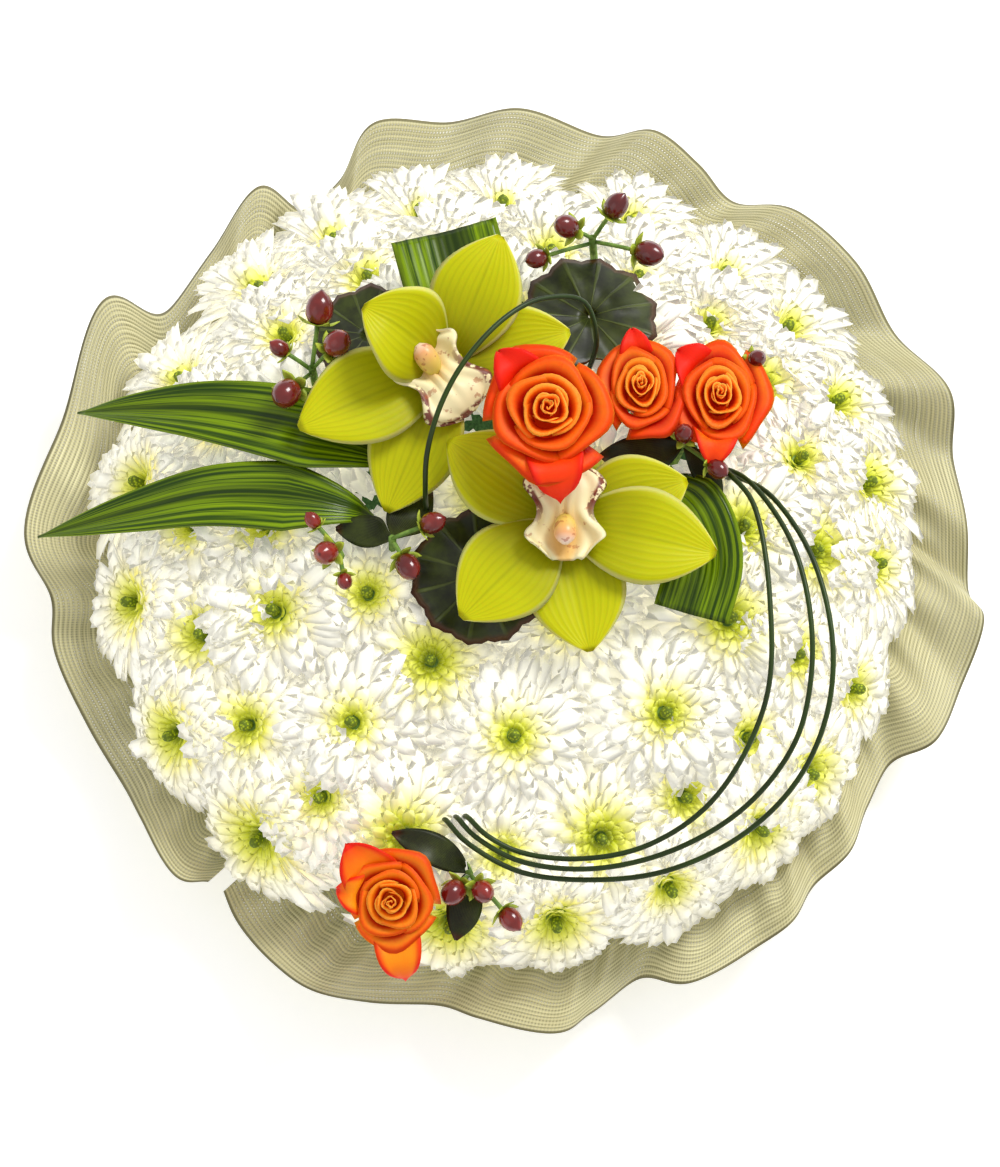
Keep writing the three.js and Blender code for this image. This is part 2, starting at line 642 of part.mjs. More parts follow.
function rosePetal({ line, halfWidth, curl, turn }, index, size) {
  const angle = radians(turn + 120 * index);
  const way = new THREE.Vector3(Math.cos(angle), Math.sin(angle), 0);
  return blade({
    line: line.map(([out, height]) => way.clone().multiplyScalar(out * size).setZ(height * size)),
    halfWidth: (along) => (3 + (halfWidth - 3) * Math.sin(Math.PI * (0.05 + 0.65 * along))) * size,
    rise: (along) => curl * size * (0.4 + 0.6 * along),
    thickness: 1.3,
    steps: 3,
    side: new THREE.Vector3(way.y, -way.x, 0),
  });
}

function makeRoses() {
  ROSES.forEach((rose, index) => {
    const frame = bloomFrame(rose);
    const rows = ROSE_ROWS.slice(0, rose.rows);
    const open = rows.flatMap((row) => [0, 1, 2].map((k) => rosePetal(row, k, rose.size)));
    const petals = fuse([roseCore(rose.size), ...open]);
    seat(add(`rose_${index + 1}_petals`, petals, 'rose'), frame);
    const calyx = starPlate(15 * rose.size, 6.5 * rose.size, [0, -9 * rose.size], -4 * rose.size);
    calyx.rotateX(Math.PI / 2);
    calyx.translate(0, 0, -CLEAR);
    const neck = new THREE.Vector3(0, 0, -4).applyMatrix4(frame);
    const stem = inFrame(uprightStem(neck, rose.foam, BLOOM_STEM), frame);
    seat(add(`rose_${index + 1}_calyx`, fuse([calyx, ...stem]), 'stem'), frame);
  });
}

// A five-pointed star about the Y axis, with a point above and below, whose tips droop
function starPlate(outer, inner, [top, bottom], droop) {
  const positions = [0, top, 0, 0, bottom, 0];
  const corners = [];
  for (let k = 0; k < 10; k += 1) {
    const tip = k % 2 === 0;
    const radius = tip ? outer : inner;
    const angle = (Math.PI * k) / 5;
    positions.push(Math.cos(angle) * radius, tip ? droop : -0.5, Math.sin(angle) * radius);
    const [here, next] = [2 + k, 2 + ((k + 1) % 10)];
    corners.push(0, next, here, 1, here, next);
  }
  return indexed(positions, corners);
}

// Berries

function berry(middle, way, length) {
  const wide = (length * BERRY_WIDTH) / 2;
  const outline = BERRY_OUTLINE.map(([out, height]) => new THREE.Vector2(out * wide, height * length));
  const fruit = new THREE.LatheGeometry(outline, 5);
  fruit.applyQuaternion(new THREE.Quaternion().setFromUnitVectors(new THREE.Vector3(0, 1, 0), way));
  return fruit.translate(...middle.toArray());
}

function makeSprigs() {
  SPRIGS.forEach(({ foam, fork, berries, leaves = [] }, index) => {
    const tip = spot(fork);
    const pieces = uprightStem(tip, foam, SPRIG_STEM);
    const down = new THREE.Vector3(...foam, FOAM_TOP + BEND_RISE).sub(tip).normalize();
    for (const [order, [x, y, z, length]] of berries.entries()) {
      const start = tip.clone().addScaledVector(down, 0.5 + order * FORK_STEP);
      const middle = new THREE.Vector3(x, y, z);
      const way = middle.clone().sub(start).setZ(Math.max(4, middle.z - start.z)).normalize();
      const foot = middle.clone().addScaledVector(way, -0.45 * length);
      pieces.push(stick(start, foot.addScaledVector(way, 0.8), BERRY_STALK, 3), berry(middle, way, length));
    }
    for (const { line, width } of leaves) {
      pieces.push(blade({
        line: [tip.clone().addScaledVector(down, 2), ...line.map(spot)],
        halfWidth: (along) => Math.max(0.6, (width / 2) * Math.sin(Math.PI * along)),
        rise: () => 1,
        thickness: LEAF_THICKNESS,
        steps: 4,
      }));
    }
    add(`berry_sprig_${index + 1}`, fuse(pieces), 'berry');
  });
}

// Leaves

// The points that take a leaf or a blade of grass straight down into a hole of its own
function plantedPoints([x, y], highest, radius) {
  const [end, rim, above] = [FOAM_TOP - STEM_DEPTH, FOAM_TOP + 3, FOAM_TOP + BEND_RISE];
  const foot = new THREE.Vector3(x, y, end);
  stems.push({ from: new THREE.Vector3(x, y, highest), to: foot, radius });
  foamHoles.push(stick(foot.clone().setZ(end - CLEAR), foot.clone().setZ(above), radius * 1.4 + CLEAR));
  return [foot, foot.clone().setZ(rim)];
}

function makeLongLeaves() {
  for (const [name, { foam, line, width, fold, cut }] of Object.entries(LONG_LEAVES)) {
    const planted = plantedPoints(foam, line[0][2], PETIOLE_WIDTH / 2 + 0.3);
    const points = [...planted, ...line.map(spot)];
    const length = new THREE.CatmullRomCurve3(points).getLength();
    const bare = (line[0][2] + 6 - planted[0].z) / length;
    const shape = (along) => {
      const blade = Math.max(0, (along - bare) / (1 - bare));
      if (cut) return Math.min(1, blade * 3) ** 0.7;
      return Math.min(1, blade * 4) ** 0.8 * (1 - blade ** 2.2);
    };
    const halfWidth = (along) => {
      return Math.max(along > 0.9 ? 0.4 : PETIOLE_WIDTH / 2, (width / 2) * shape(along));
    };
    const across = points[points.length - 1].clone().sub(points[1]).cross(UP).normalize();
    const rise = (along) => fold * halfWidth(along);
    const geometry = blade({
      line: points, halfWidth, rise, folded: true, thickness: LEAF_THICKNESS, steps: 12, side: across,
    });
    add(name, geometry, 'strap');
  }
}

function leafHeight(x, y, lift) {
  return domeHeight(Math.hypot(x, y), FLOWER_DEPTH) + lift + 1.5 * Math.sin((x + y) * 0.16);
}

function roundLeaf({ middle: [x, y], radius, lift, foam, teeth }) {
  const rim = 2 * teeth;
  const stalk = Math.atan2(foam[1] - y, foam[0] - x);
  const rings = [{ count: teeth, out: 0.55 }, { count: rim, out: 1 }];
  const layer = 1 + teeth + rim;
  const positions = [];
  const put = (px, py, offset) => {
    positions.push(px, py, leafHeight(px, py, lift) + offset);
  };
  for (const offset of [LEAF_THICKNESS / 2, -LEAF_THICKNESS / 2]) {
    put(x, y, offset);
    for (const { count, out } of rings) {
      for (let k = 0; k < count; k += 1) {
        const angle = stalk + (2 * Math.PI * k) / count;
        const tooth = count === rim && k % 2 === 1 ? 0.93 : 1;
        const notch = k === 0 && count === rim ? 0.7 : 1;
        const reach = radius * out * tooth * notch;
        put(x + Math.cos(angle) * reach, y + Math.sin(angle) * reach, offset);
      }
    }
  }
  const corners = [];
  const face = (a, b, c) => corners.push(a, b, c, layer + a, layer + c, layer + b);
  for (let k = 0; k < teeth; k += 1) {
    const next = (k + 1) % teeth;
    const [a, b, c] = [2 * k, 2 * k + 1, (2 * k + 2) % rim].map((step) => 1 + teeth + step);
    face(0, 1 + k, 1 + next);
    face(1 + k, a, b);
    face(1 + k, b, 1 + next);
    face(1 + next, b, c);
    for (const [here, there] of [[a, b], [b, c]]) {
      corners.push(here, layer + here, layer + there, here, layer + there, there);
    }
  }
  return indexed(positions, corners);
}

function makeRoundLeaves() {
  for (const [name, leaf] of Object.entries(ROUND_LEAVES)) {
    const [x, y] = leaf.middle.map((value, axis) => value + (leaf.foam[axis] - value) * STALK_SHARE);
    const joint = new THREE.Vector3(x, y, leafHeight(x, y, leaf.lift));
    const pieces = uprightStem(joint, leaf.foam, LEAF_STALK);
    add(name, fuse([roundLeaf(leaf), ...pieces]), 'dark_leaf');
  }
}

// Steel grass

function makeGrass() {
  const section = new THREE.Shape([0, 1, 2].map((k) => {
    const angle = (2 * Math.PI * k) / 3;
    return new THREE.Vector2(Math.cos(angle) * GRASS_RADIUS, Math.sin(angle) * GRASS_RADIUS);
  }));
  for (const [name, line] of Object.entries(GRASS_LOOPS)) {
    const [first, last] = [line[0], line[line.length - 1]];
    const start = plantedPoints(first, first[2], GRASS_RADIUS + 0.3);
    const end = plantedPoints(last, last[2], GRASS_RADIUS + 0.3).reverse();
    const points = [...start, ...line.map(spot), ...end];
    const path = new THREE.CatmullRomCurve3(points, false, 'centripetal');
    const geometry = new THREE.ExtrudeGeometry(section, {
      steps: GRASS_STEPS, bevelEnabled: false, extrudePath: path,
    });
    add(name, geometry, 'grass');
  }
}

makeOrchids();
makeRoses();
makeSprigs();
makeLongLeaves();
makeRoundLeaves();
makeGrass();
makeChrysanthemums();
makeRibbon();
makeBase();
makeFoam();

export default posy;
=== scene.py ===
# %% [markdown]
# # A sympathy posy over its CAD frame
# The CAD model holds one plain solid for every cut stem, bloom, leaf and the ribbon. Here each
# of them is built again at the same place with real petals, veins and weave, and the plain
# solid is hidden. Sizes are written in millimetres and turned into metres only when a mesh is
# made, because florists and seed lists both think in millimetres.

import math
import random

import bpy
import numpy as np
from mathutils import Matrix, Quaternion, Vector


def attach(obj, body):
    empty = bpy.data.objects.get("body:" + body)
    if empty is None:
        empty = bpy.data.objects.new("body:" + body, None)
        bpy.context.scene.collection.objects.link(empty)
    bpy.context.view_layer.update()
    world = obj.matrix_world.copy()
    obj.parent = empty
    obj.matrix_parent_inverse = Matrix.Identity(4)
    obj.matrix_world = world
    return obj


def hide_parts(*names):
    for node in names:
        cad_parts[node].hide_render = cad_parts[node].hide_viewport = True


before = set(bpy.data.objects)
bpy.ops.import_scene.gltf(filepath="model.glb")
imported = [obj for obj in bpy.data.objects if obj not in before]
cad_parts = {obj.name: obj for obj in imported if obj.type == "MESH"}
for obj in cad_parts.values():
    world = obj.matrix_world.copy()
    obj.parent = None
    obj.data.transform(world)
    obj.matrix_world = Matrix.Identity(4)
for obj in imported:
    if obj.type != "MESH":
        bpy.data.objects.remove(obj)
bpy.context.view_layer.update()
MM = 0.001
UP = np.array([0.0, 0.0, 1.0])

# %% [markdown]
# ## Curves, sheets and tubes
# Petals, leaves and ribbon are thin sheets. Stems, grass and berries are round about a line.
# Two helpers make them all. A sheet is a grid of points with a front and a back that share
# their edge, so it is closed and its edge is thin, as a petal's is. A tube is a chain of rings.
# Both also write down where each point lies on its petal, in an attribute named grain, and the
# materials read that for veins and margins.


# %% Curves and vectors
def unit(vector):
    vector = np.asarray(vector, float)
    return vector / np.linalg.norm(vector, axis=-1, keepdims=True)


def curve(points, steps=24):
    """Points on a smooth line through the given ones, steps to each stretch."""
    p = np.asarray(points, float)
    p = np.vstack([2 * p[0] - p[1], p, 2 * p[-1] - p[-2]])
    s = np.linspace(0, 1, steps, endpoint=False)[:, None]
    made = []
    for a, b, c, d in zip(p, p[1:], p[2:], p[3:]):
        ab, bc, cd = (math.sqrt(np.linalg.norm(y - x)) for x, y in ((a, b), (b, c), (c, d)))
        leave = ((b - a) / ab - (c - a) / (ab + bc) + (c - b) / bc) * bc
        enter = ((c - b) / bc - (d - b) / (bc + cd) + (d - c) / cd) * bc
        made.append(b + leave * s + (3 * (c - b) - 2 * leave - enter) * s**2
                    + (2 * (b - c) + leave + enter) * s**3)
    return np.vstack([*made, p[-2:-1]])


def even(points, count):
    """The same smooth line as count points, evenly spaced."""
    line = curve(points)
    along = np.concatenate([[0], np.cumsum(np.linalg.norm(np.diff(line, axis=0), axis=1))])
    at = np.linspace(0, along[-1], count)
    return np.stack([np.interp(at, along, line[:, k]) for k in range(3)], axis=1)


def turned_to(way, turn=0.0):
    """The matrix that turns +Z to a way, after a turn in degrees about +Z."""
    first = Quaternion((0, 0, 1), math.radians(turn))
    return np.array((Vector((0, 0, 1)).rotation_difference(Vector(way)) @ first).to_matrix())


# %% Sheets and tubes
def toned(grid, tone=0.0):
    """The grain of a grid: 0 to 1 along it, -1 to 1 across it, and one tone for all of it."""
    n, m, _ = grid.shape
    along, over = np.meshgrid(np.linspace(0, 1, n), np.linspace(-1, 1, m), indexing="ij")
    return np.stack([along, over, np.full_like(along, tone)], axis=-1)


class Build:
    """The points, faces and materials of one piece, gathered in millimetres."""

    def __init__(self):
        self.points, self.faces, self.inks, self.grain = [], [], [], []

    def add(self, points, faces, ink, grain):
        first = sum(len(p) for p in self.points)
        self.points.append(np.asarray(points, float).reshape(-1, 3))
        self.grain.append(np.broadcast_to(grain, self.points[-1].shape))
        self.faces += [[first + int(k) for k in face] for face in faces]
        self.inks += [ink] * len(faces)

    def sheet(self, middle, thickness, ink=0, grain=None, ring=False):
        """A grid of points [along, across] becomes a closed sheet; ring joins its two sides."""
        n, m, _ = middle.shape
        if ring:
            wrap = np.concatenate([middle[:, -1:], middle, middle[:, :1]], axis=1)
            across = np.gradient(wrap, axis=1)[:, 1:-1]
        else:
            across = np.gradient(middle, axis=1)
        normal = np.cross(np.gradient(middle, axis=0), across)
        normal /= np.maximum(np.linalg.norm(normal, axis=2, keepdims=True), 1e-9)
        inside = np.zeros((n, m), bool)
        inside[1:-1, (slice(None) if ring else slice(1, -1))] = True
        lift = normal * thickness / 2 * inside[..., None]
        front = np.arange(n * m).reshape(n, m)
        back = front.copy()
        back[inside] = n * m + np.arange(inside.sum())
        if ring:
            front, back = (np.concatenate([x, x[:, :1]], axis=1) for x in (front, back))
        quads = []
        for side, order in ((front, 1), (back, -1)):
            corner = [side[:-1, :-1], side[1:, :-1], side[1:, 1:], side[:-1, 1:]][::order]
            quads += np.stack(corner, axis=-1).reshape(-1, 4).tolist()
        grain = toned(middle) if grain is None else grain
        points = np.concatenate([(middle + lift).reshape(-1, 3), (middle - lift)[inside]])
        self.add(points, quads, ink, np.concatenate([grain.reshape(-1, 3), grain[inside]]))

    def tube(self, line, radii, sides=6, ink=0, tone=0.0):
        """Rings round a line, closed at both ends."""
        line = np.asarray(line, float)
        radii = np.broadcast_to(radii, len(line))
        way = unit(np.gradient(line, axis=0))
        side = np.cross(way[0], UP if abs(way[0][2]) < 0.9 else [0.0, 1.0, 0.0])
        rings = []
        for here, tangent, radius in zip(line, way, radii):
            side = unit(side - tangent * (side @ tangent))
            over = np.cross(tangent, side)
            turn = 2 * np.pi * np.arange(sides) / sides
            ring = here + radius * (np.cos(turn)[:, None] * side + np.sin(turn)[:, None] * over)
            rings.append(ring)
        count = len(line)
        at = np.arange(count * sides).reshape(count, sides)
        nxt = np.roll(at, -1, axis=1)
        faces = np.stack([at[:-1], nxt[:-1], nxt[1:], at[1:]], axis=-1).reshape(-1, 4).tolist()
        start, end = count * sides, count * sides + 1
        faces += [[start, b, a] for a, b in zip(at[0], nxt[0])]
        faces += [[end, a, b] for a, b in zip(at[-1], nxt[-1])]
        along = np.repeat(np.linspace(0, 1, count), sides)
        round_it = np.tile(np.arange(sides) / sides, count)
        grain = np.stack([along, round_it, np.full_like(along, tone)], axis=1)
        grain = np.vstack([grain, [[0, 0, tone], [1, 0, tone]]])
        self.add([*np.concatenate(rings), line[0], line[-1]], faces, ink, grain)

    def mesh(self, name, materials):
        mesh = bpy.data.meshes.new(name)
        mesh.from_pydata(np.concatenate(self.points) * MM, [], self.faces)
        mesh.attributes.new("grain", "FLOAT_VECTOR", "POINT").data.foreach_set(
            "vector", np.concatenate(self.grain).astype(np.float32).ravel())
        mesh.polygons.foreach_set("material_index", self.inks)
        for material in materials:
            mesh.materials.append(material)
        mesh.shade_smooth()
        mesh.validate()
        return mesh


# %% Pieces
triangles = {}


def put(name, data):
    """A new object in the scene."""
    made = bpy.data.objects.new(name, data)
    bpy.context.scene.collection.objects.link(made)
    return made


def count_triangles(mesh):
    return sum(len(face.vertices) - 2 for face in mesh.polygons)


def piece(name, node, mesh):
    """One finished piece that stands for a CAD node."""
    made = put(name, mesh)
    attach(made, "root")
    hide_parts(node)
    triangles[name] = count_triangles(mesh)
    return made


# %% [markdown]
# ## A small language for node trees
# Node trees are easier to read as sums. This class wraps one socket of a tree, and an
# expression such as 1 - mask adds the Math node for it. Vectors go through Vector Math by
# themselves. Every other node comes from one method, node, which takes its type, its settings
# and what goes into its sockets. Shader trees and geometry trees both use it.


# %% Sockets as values
class Value:
    """One output socket, with the arithmetic of numbers and vectors."""

    def __init__(self, tree, socket):
        self.tree, self.socket = tree, socket

    def node(self, kind, settings=None, sockets=None, out=0):
        made = self.tree.nodes.new(kind)
        for key, value in (settings or {}).items():
            setattr(made, key, value)
        for key, value in (sockets or {}).items():
            if isinstance(value, Value):
                self.tree.links.new(value.socket, made.inputs[key])
            else:
                made.inputs[key].default_value = value
        return Value(self.tree, made.outputs[out])

    def is_vector(self):
        return self.socket.type in ("VECTOR", "RGBA")

    def maths(self, operation, *values):
        vector = any(isinstance(v, Value) and v.is_vector() for v in values)
        kind = "ShaderNodeVectorMath" if vector else "ShaderNodeMath"
        if vector:
            values = [v if isinstance(v, Value) or hasattr(v, "__len__") else (v,) * 3 for v in values]
        return self.node(kind, {"operation": operation}, dict(enumerate(values)))

    def __add__(self, other):
        return self.maths("ADD", self, other)

    def __radd__(self, other):
        return self.maths("ADD", other, self)

    def __sub__(self, other):
        return self.maths("SUBTRACT", self, other)

    def __rsub__(self, other):
        return self.maths("SUBTRACT", other, self)

    def __mul__(self, other):
        return self.maths("MULTIPLY", self, other)

    def __rmul__(self, other):
        return self.maths("MULTIPLY", other, self)

    def __truediv__(self, other):
        return self.maths("DIVIDE", self, other)

    def sin(self):
        return self.maths("SINE", self)

    def cos(self):
        return self.maths("COSINE", self)

    def absolute(self):
        return self.maths("ABSOLUTE", self)

    def times(self, number):
        """A vector made longer by a number that may vary."""
        return self.node("ShaderNodeVectorMath", {"operation": "SCALE"}, {0: self, "Scale": number})

    def cross(self, other):
        return self.node("ShaderNodeVectorMath", {"operation": "CROSS_PRODUCT"}, {0: self, 1: other})

    def parts(self):
        split = self.node("ShaderNodeSeparateXYZ", None, {0: self}).socket.node
        return [Value(self.tree, socket) for socket in split.outputs]

    def step(self, low, high):
        """0 below low, 1 above high, and smooth between."""
        return self.node("ShaderNodeMapRange", {"interpolation_type": "SMOOTHSTEP"},
                         {"Value": self, "From Min": low, "From Max": high})

    def blend(self, *colours):
        """The first colour where this value is 0, the second where it is 1."""
        first, second = (c if isinstance(c, Value) else ink(c) for c in colours)
        return self.node("ShaderNodeMix", {"data_type": "RGBA"}, {0: self, 6: first, 7: second}, out=2)

    def ramp(self, stops):
        made = self.node("ShaderNodeValToRGB", None, {0: self})
        elements = made.socket.node.color_ramp.elements
        for _ in stops[2:]:
            elements.new(0.5)
        for element, (position, colour) in zip(elements, stops):
            element.position, element.color = position, ink(colour)
        return made


def ink(colour):
    """A screen colour, written as in a paint program from 0 to 255, as the shader wants it."""
    linear = [((c / 255 + 0.055) / 1.055) ** 2.4 if c > 10 else c / 255 / 12.92 for c in colour]
    return (*linear, 1.0)


# %% Materials
def material(name, paint, roughness=0.6, **constants):
    """A Principled material. paint gets the grain and the place on the object, and returns what
    feeds Base Color and, if it likes, other sockets."""
    made = bpy.data.materials.new(name)
    made.use_nodes = True
    tree = made.node_tree
    shader = next(n for n in tree.nodes if n.type == "BSDF_PRINCIPLED")
    shader.inputs["Roughness"].default_value = roughness
    for key, value in constants.items():
        shader.inputs[key.replace("_", " ")].default_value = value
    start = Value(tree, shader.outputs[0])
    grain = start.node("ShaderNodeAttribute", {"attribute_name": "grain"}, None, out=1)
    place = start.node("ShaderNodeTexCoord", None, None, out=3)
    for key, value in paint(grain, place).items():
        if key == "Bump":
            strength, height, distance = value
            value = start.node("ShaderNodeBump", None, {
                "Height": height, "Strength": strength, "Distance": distance})
            key = "Normal"
        if isinstance(value, Value):
            tree.links.new(value.socket, shader.inputs[key])
        else:
            shader.inputs[key].default_value = value
    return made


def noise(place, scale, detail=2.0):
    return place.node("ShaderNodeTexNoise", None,
                      {"Vector": place, "Scale": scale, "Detail": detail, "Roughness": 0.6})


# %% [markdown]
# ## Pad and foam
# The posy pad is a polystyrene disc under a cake of green floral foam. Both are almost hidden,
# so they stay the CAD solids and only get their finish: fine beads on the disc, and fine pores
# on the foam.


# %% Pad and foam finishes
def paint_pad(grain, place):
    beads = place.node("ShaderNodeTexVoronoi", None, {"Vector": place, "Scale": 420.0})
    return {"Base Color": beads.step(0.2, 0.8).blend((236, 238, 233), (222, 225, 219)),
            "Bump": (0.3, beads, 0.0004)}


def paint_foam(grain, place):
    pores = noise(place, 900.0)
    return {"Base Color": pores.step(0.3, 0.7).blend((58, 96, 55), (86, 130, 80)),
            "Bump": (0.6, pores, 0.0006)}


for node, slot, paint in (("base_disc", "base", paint_pad), ("foam_pad", "foam", paint_foam)):
    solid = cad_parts[node]
    solid.data.materials.clear()
    solid.data.materials.append(material(slot, paint, 0.9))
    print(node, "keeps its CAD solid")

# %% [markdown]
# ## The ribbon
# A woven floristry ribbon about 60 mm wide runs round the pad in one length, glued on edge to
# the disc and gathered so that its free edge waves. The outer edge is a list of what the free
# edge does on its way round, as angle, distance and height. A sheet stretched from the disc to
# that edge is the ribbon, and small flutes that grow from the free edge inwards take up the
# cloth that the gathers hold. Weaving it thread by thread would take a million faces, so the
# material draws the threads: one way along the ribbon and one across, with small gaps between.

# %% Ribbon outline
BASE_RADIUS = 125
RIBBON_FOOT = 3
RIBBON_GLUED = 17
RIBBON_THICKNESS = 0.45
RIBBON_EDGE = [
    (229.5, 160, 29), (233, 165, 23), (240.8, 172, 32), (246, 175, 39), (253, 170, 25),
    (261, 165, 21), (267, 170, 33), (276, 177, 38), (281, 170, 25), (288, 161, 18),
    (294, 172, 38), (303, 171, 30), (308, 172, 38), (314.5, 166, 24), (320, 168, 32),
    (327, 163, 22), (333, 162, 20), (338, 175, 37), (345.5, 178, 29), (353.5, 182, 39),
    (358.5, 177, 25), (365.5, 177, 35), (375, 179, 25), (382, 184, 42), (392.5, 180, 27),
    (402, 182, 42), (411, 182, 42), (419.5, 177, 24), (425, 180, 37), (431, 184, 44),
    (438, 182, 29), (448, 184, 43), (456.5, 184, 31), (465.5, 185, 43), (472, 172, 27),
    (477, 169, 21), (482, 179, 42), (491, 173, 27), (500, 170, 20), (506, 185, 47),
    (520, 180, 29), (536, 181, 43), (543, 172, 23), (550, 172, 32), (560, 167, 22),
    (568, 164, 20), (575, 165, 31), (584, 169, 38), (587, 161, 27),
]
# Rows from the glued edge over the disc's rim, which is 0, to the free edge, which is 1
RIBBON_ROWS = [-0.3, -0.2, -0.1, 0.0, 0.06, 0.12, 0.2, 0.3, 0.4, 0.5, 0.6, 0.7, 0.8,
               0.88, 0.94, 0.97, 1.0]
GLUE_GAP = 0.3
FLUTES = 58
FLUTE_HEIGHT = 1.6
WARP_PITCH = 1.9
WEFT_PITCH = 1.3


# %% Ribbon sheet
def ribbon_points():
    edge = curve(RIBBON_EDGE, 16)
    along = np.linspace(0, 1, len(edge))
    plain = edge[0, 0] + (edge[-1, 0] - edge[0, 0]) * along
    flute = np.sin(2 * np.pi * FLUTES * along + 2.5 * np.sin(9 * along))
    rows = []
    for row in RIBBON_ROWS:
        free = max(0.0, row)
        angle = np.radians(plain + (edge[:, 0] - plain) * free)
        inner = BASE_RADIUS + GLUE_GAP + RIBBON_THICKNESS / 2
        out = inner + (edge[:, 1] - inner) * free
        glued = RIBBON_GLUED + (RIBBON_FOOT - RIBBON_GLUED) * max(0.0, row / RIBBON_ROWS[0])
        height = glued + (edge[:, 2] - glued) * free**2
        swell = FLUTE_HEIGHT * math.sin(math.pi * min(1.0, free * 1.1)) * flute
        rows.append(np.stack([np.cos(angle) * out, np.sin(angle) * out, height + swell], axis=1))
    return np.stack(rows, axis=1)


def ribbon_grain(points):
    """Millimetres along the free edge and across from it, for the threads."""
    steps = np.linalg.norm(np.diff(points[:, -1], axis=0), axis=1)
    along = np.concatenate([[0], np.cumsum(steps)])
    widths = np.linalg.norm(np.diff(points, axis=1), axis=2)
    across = np.concatenate([np.zeros((len(points), 1)), np.cumsum(widths[:, ::-1], axis=1)], axis=1)
    across = across[:, ::-1]
    return np.stack([np.repeat(along[:, None], points.shape[1], 1), across, np.zeros_like(across)], -1)


# %% Ribbon finish
def paint_ribbon(grain, place):
    along, across, _ = grain.parts()
    uneven = noise(grain * (0.004, 1.0, 1.0), 1.3, 3.0)
    warp = (across * (2 * math.pi / WARP_PITCH) + uneven * 5.0).sin() * 0.5 + 0.5
    weft = (along * (2 * math.pi / WEFT_PITCH)).sin() * 0.5 + 0.5
    patch = noise(place, 22.0)
    thread = warp.step(0.1, 0.9) * 0.34 + uneven * 1.2 - 0.3 + weft * 0.15
    colour = thread.blend((134, 128, 82), (234, 228, 184))
    edging = 1 - across.step(0.7, 1.5)
    colour = (patch.step(0.35, 0.75) * 0.25).blend(colour, (190, 180, 126))
    colour = (edging * 0.8).blend(colour, (112, 106, 66))
    gap = (1 - warp.step(0.1, 0.35)) * (1 - weft.step(0.25, 0.5)) * (1 - edging)
    return {"Base Color": colour, "Alpha": 1 - gap * 0.75, "Bump": (0.35, warp + weft * 0.4, 0.0003)}


points = ribbon_points()
build = Build()
build.sheet(points, RIBBON_THICKNESS, 0, ribbon_grain(points))
ribbon_material = material("ribbon", paint_ribbon, 0.8, Sheen_Weight=0.15)
woven = build.mesh("ribbon", [ribbon_material])
ribbon = piece("ribbon_collar_woven", "ribbon_collar", woven)

# %% [markdown]
# ## Where the chrysanthemum heads stand
# The heads follow a flattened dome. The CAD model lists them ring by ring, and the same list
# with the same seeded numbers is worked out here, so that every head stands exactly where its
# plain solid stood. An inner list is one cut stem that branches into its heads. A head that
# stands off its ring is written as its angle and its own distance.

# %% The dome
DOME_RADIUS = 136
DOME_FOOT = 36
DOME_RISE = 44
DOME_POWER = 2.2
HEAD_LIFT = 4
FOAM_TOP = 52
STEM_DEPTH = 25
HEAD_RINGS = [
    (132, 1.05, 5, [(-151, -130), (-98, -82), (-64, -47.5), (-36, -21), (-1, 12), (26, 40),
                    (53, 70), (90, 103), (117, 131), (150, 168), (187,)]),
    (112, 1.0, 9, [(-163, -144, -125), (-108, -90, -72), (-55, -39, -21), (-1, 17, 33),
                   (48, 64, 81), (98, 116, 135), (155, 176)]),
    (86, 1.12, 12, [(-162, -128.5), ((-87, 73), -48), (-20, 3), (58, 86), (112,), (148, 176)]),
    (53, 1.05, 16, [(-156, -119)]),
    (38, 1.0, 18, [(-50,)]),
    (27, 0.9, 18, [((113, 15), (33, 40))]),
]


def seeded(seed):
    """The same random numbers as the CAD source draws."""
    state = seed
    while True:
        state = (state * 1664525 + 1013904223) % 4294967296
        yield state / 4294967296


def dome_height(out, proud=0.0):
    inside = max(0.0, 1 - (out / (DOME_RADIUS + proud)) ** DOME_POWER)
    return DOME_FOOT + (DOME_RISE + proud) * inside ** (1 / DOME_POWER)


def dome_place(out, degrees):
    angle = math.radians(degrees)
    height = dome_height(out)
    outward = (out / DOME_RADIUS) ** (DOME_POWER - 1) / DOME_RADIUS
    upward = ((height - DOME_FOOT) / DOME_RISE) ** (DOME_POWER - 1) / DOME_RISE
    x, y = math.cos(angle), math.sin(angle)
    return np.array([x * out, y * out, height]), unit([x * outward, y * outward, upward])


# %% The heads
def list_sprays():
    draw = seeded(11)
    sprays = []
    for out, size, fork, stems in HEAD_RINGS:
        for entries in stems:
            places = [entry if isinstance(entry, tuple) else (entry, out) for entry in entries]
            root, facing = dome_place(out, sum(degrees for degrees, _ in places) / len(places))
            heads = []
            for degrees, distance in places:
                at, way = dome_place(distance, degrees)
                big, spin = size * (0.97 + 0.06 * next(draw)), next(draw) * math.pi
                heads.append({"at": at + way * HEAD_LIFT, "way": way, "size": big, "spin": spin})
            sprays.append({"fork": root - facing * fork, "way": facing, "heads": heads})
    return sprays


sprays = list_sprays()
all_heads = [head for spray in sprays for head in spray["heads"]]
print(len(all_heads), "heads on", len(sprays), "cut stems")

# %% [markdown]
# ## Petals by Geometry Nodes
# A double chrysanthemum has over a hundred narrow petals in rows: short ones that stand up
# round the eye, then longer ones that open flat, and the last ones bend back. One small petal
# is enough. Each petal of a head is first only a point that knows its way out, its length, its
# width, how steeply it starts and how much it bends. The tree puts the petal on every point
# and then bends each copy along an arc of its own: a point at u along the petal has turned by
# rise + curl u, and the place is the integral of that.

# %% One plain petal
PETAL_ROWS = 6
PETAL_OUTLINE = [0.34, 0.64, 0.88, 1.0, 0.98, 0.52]


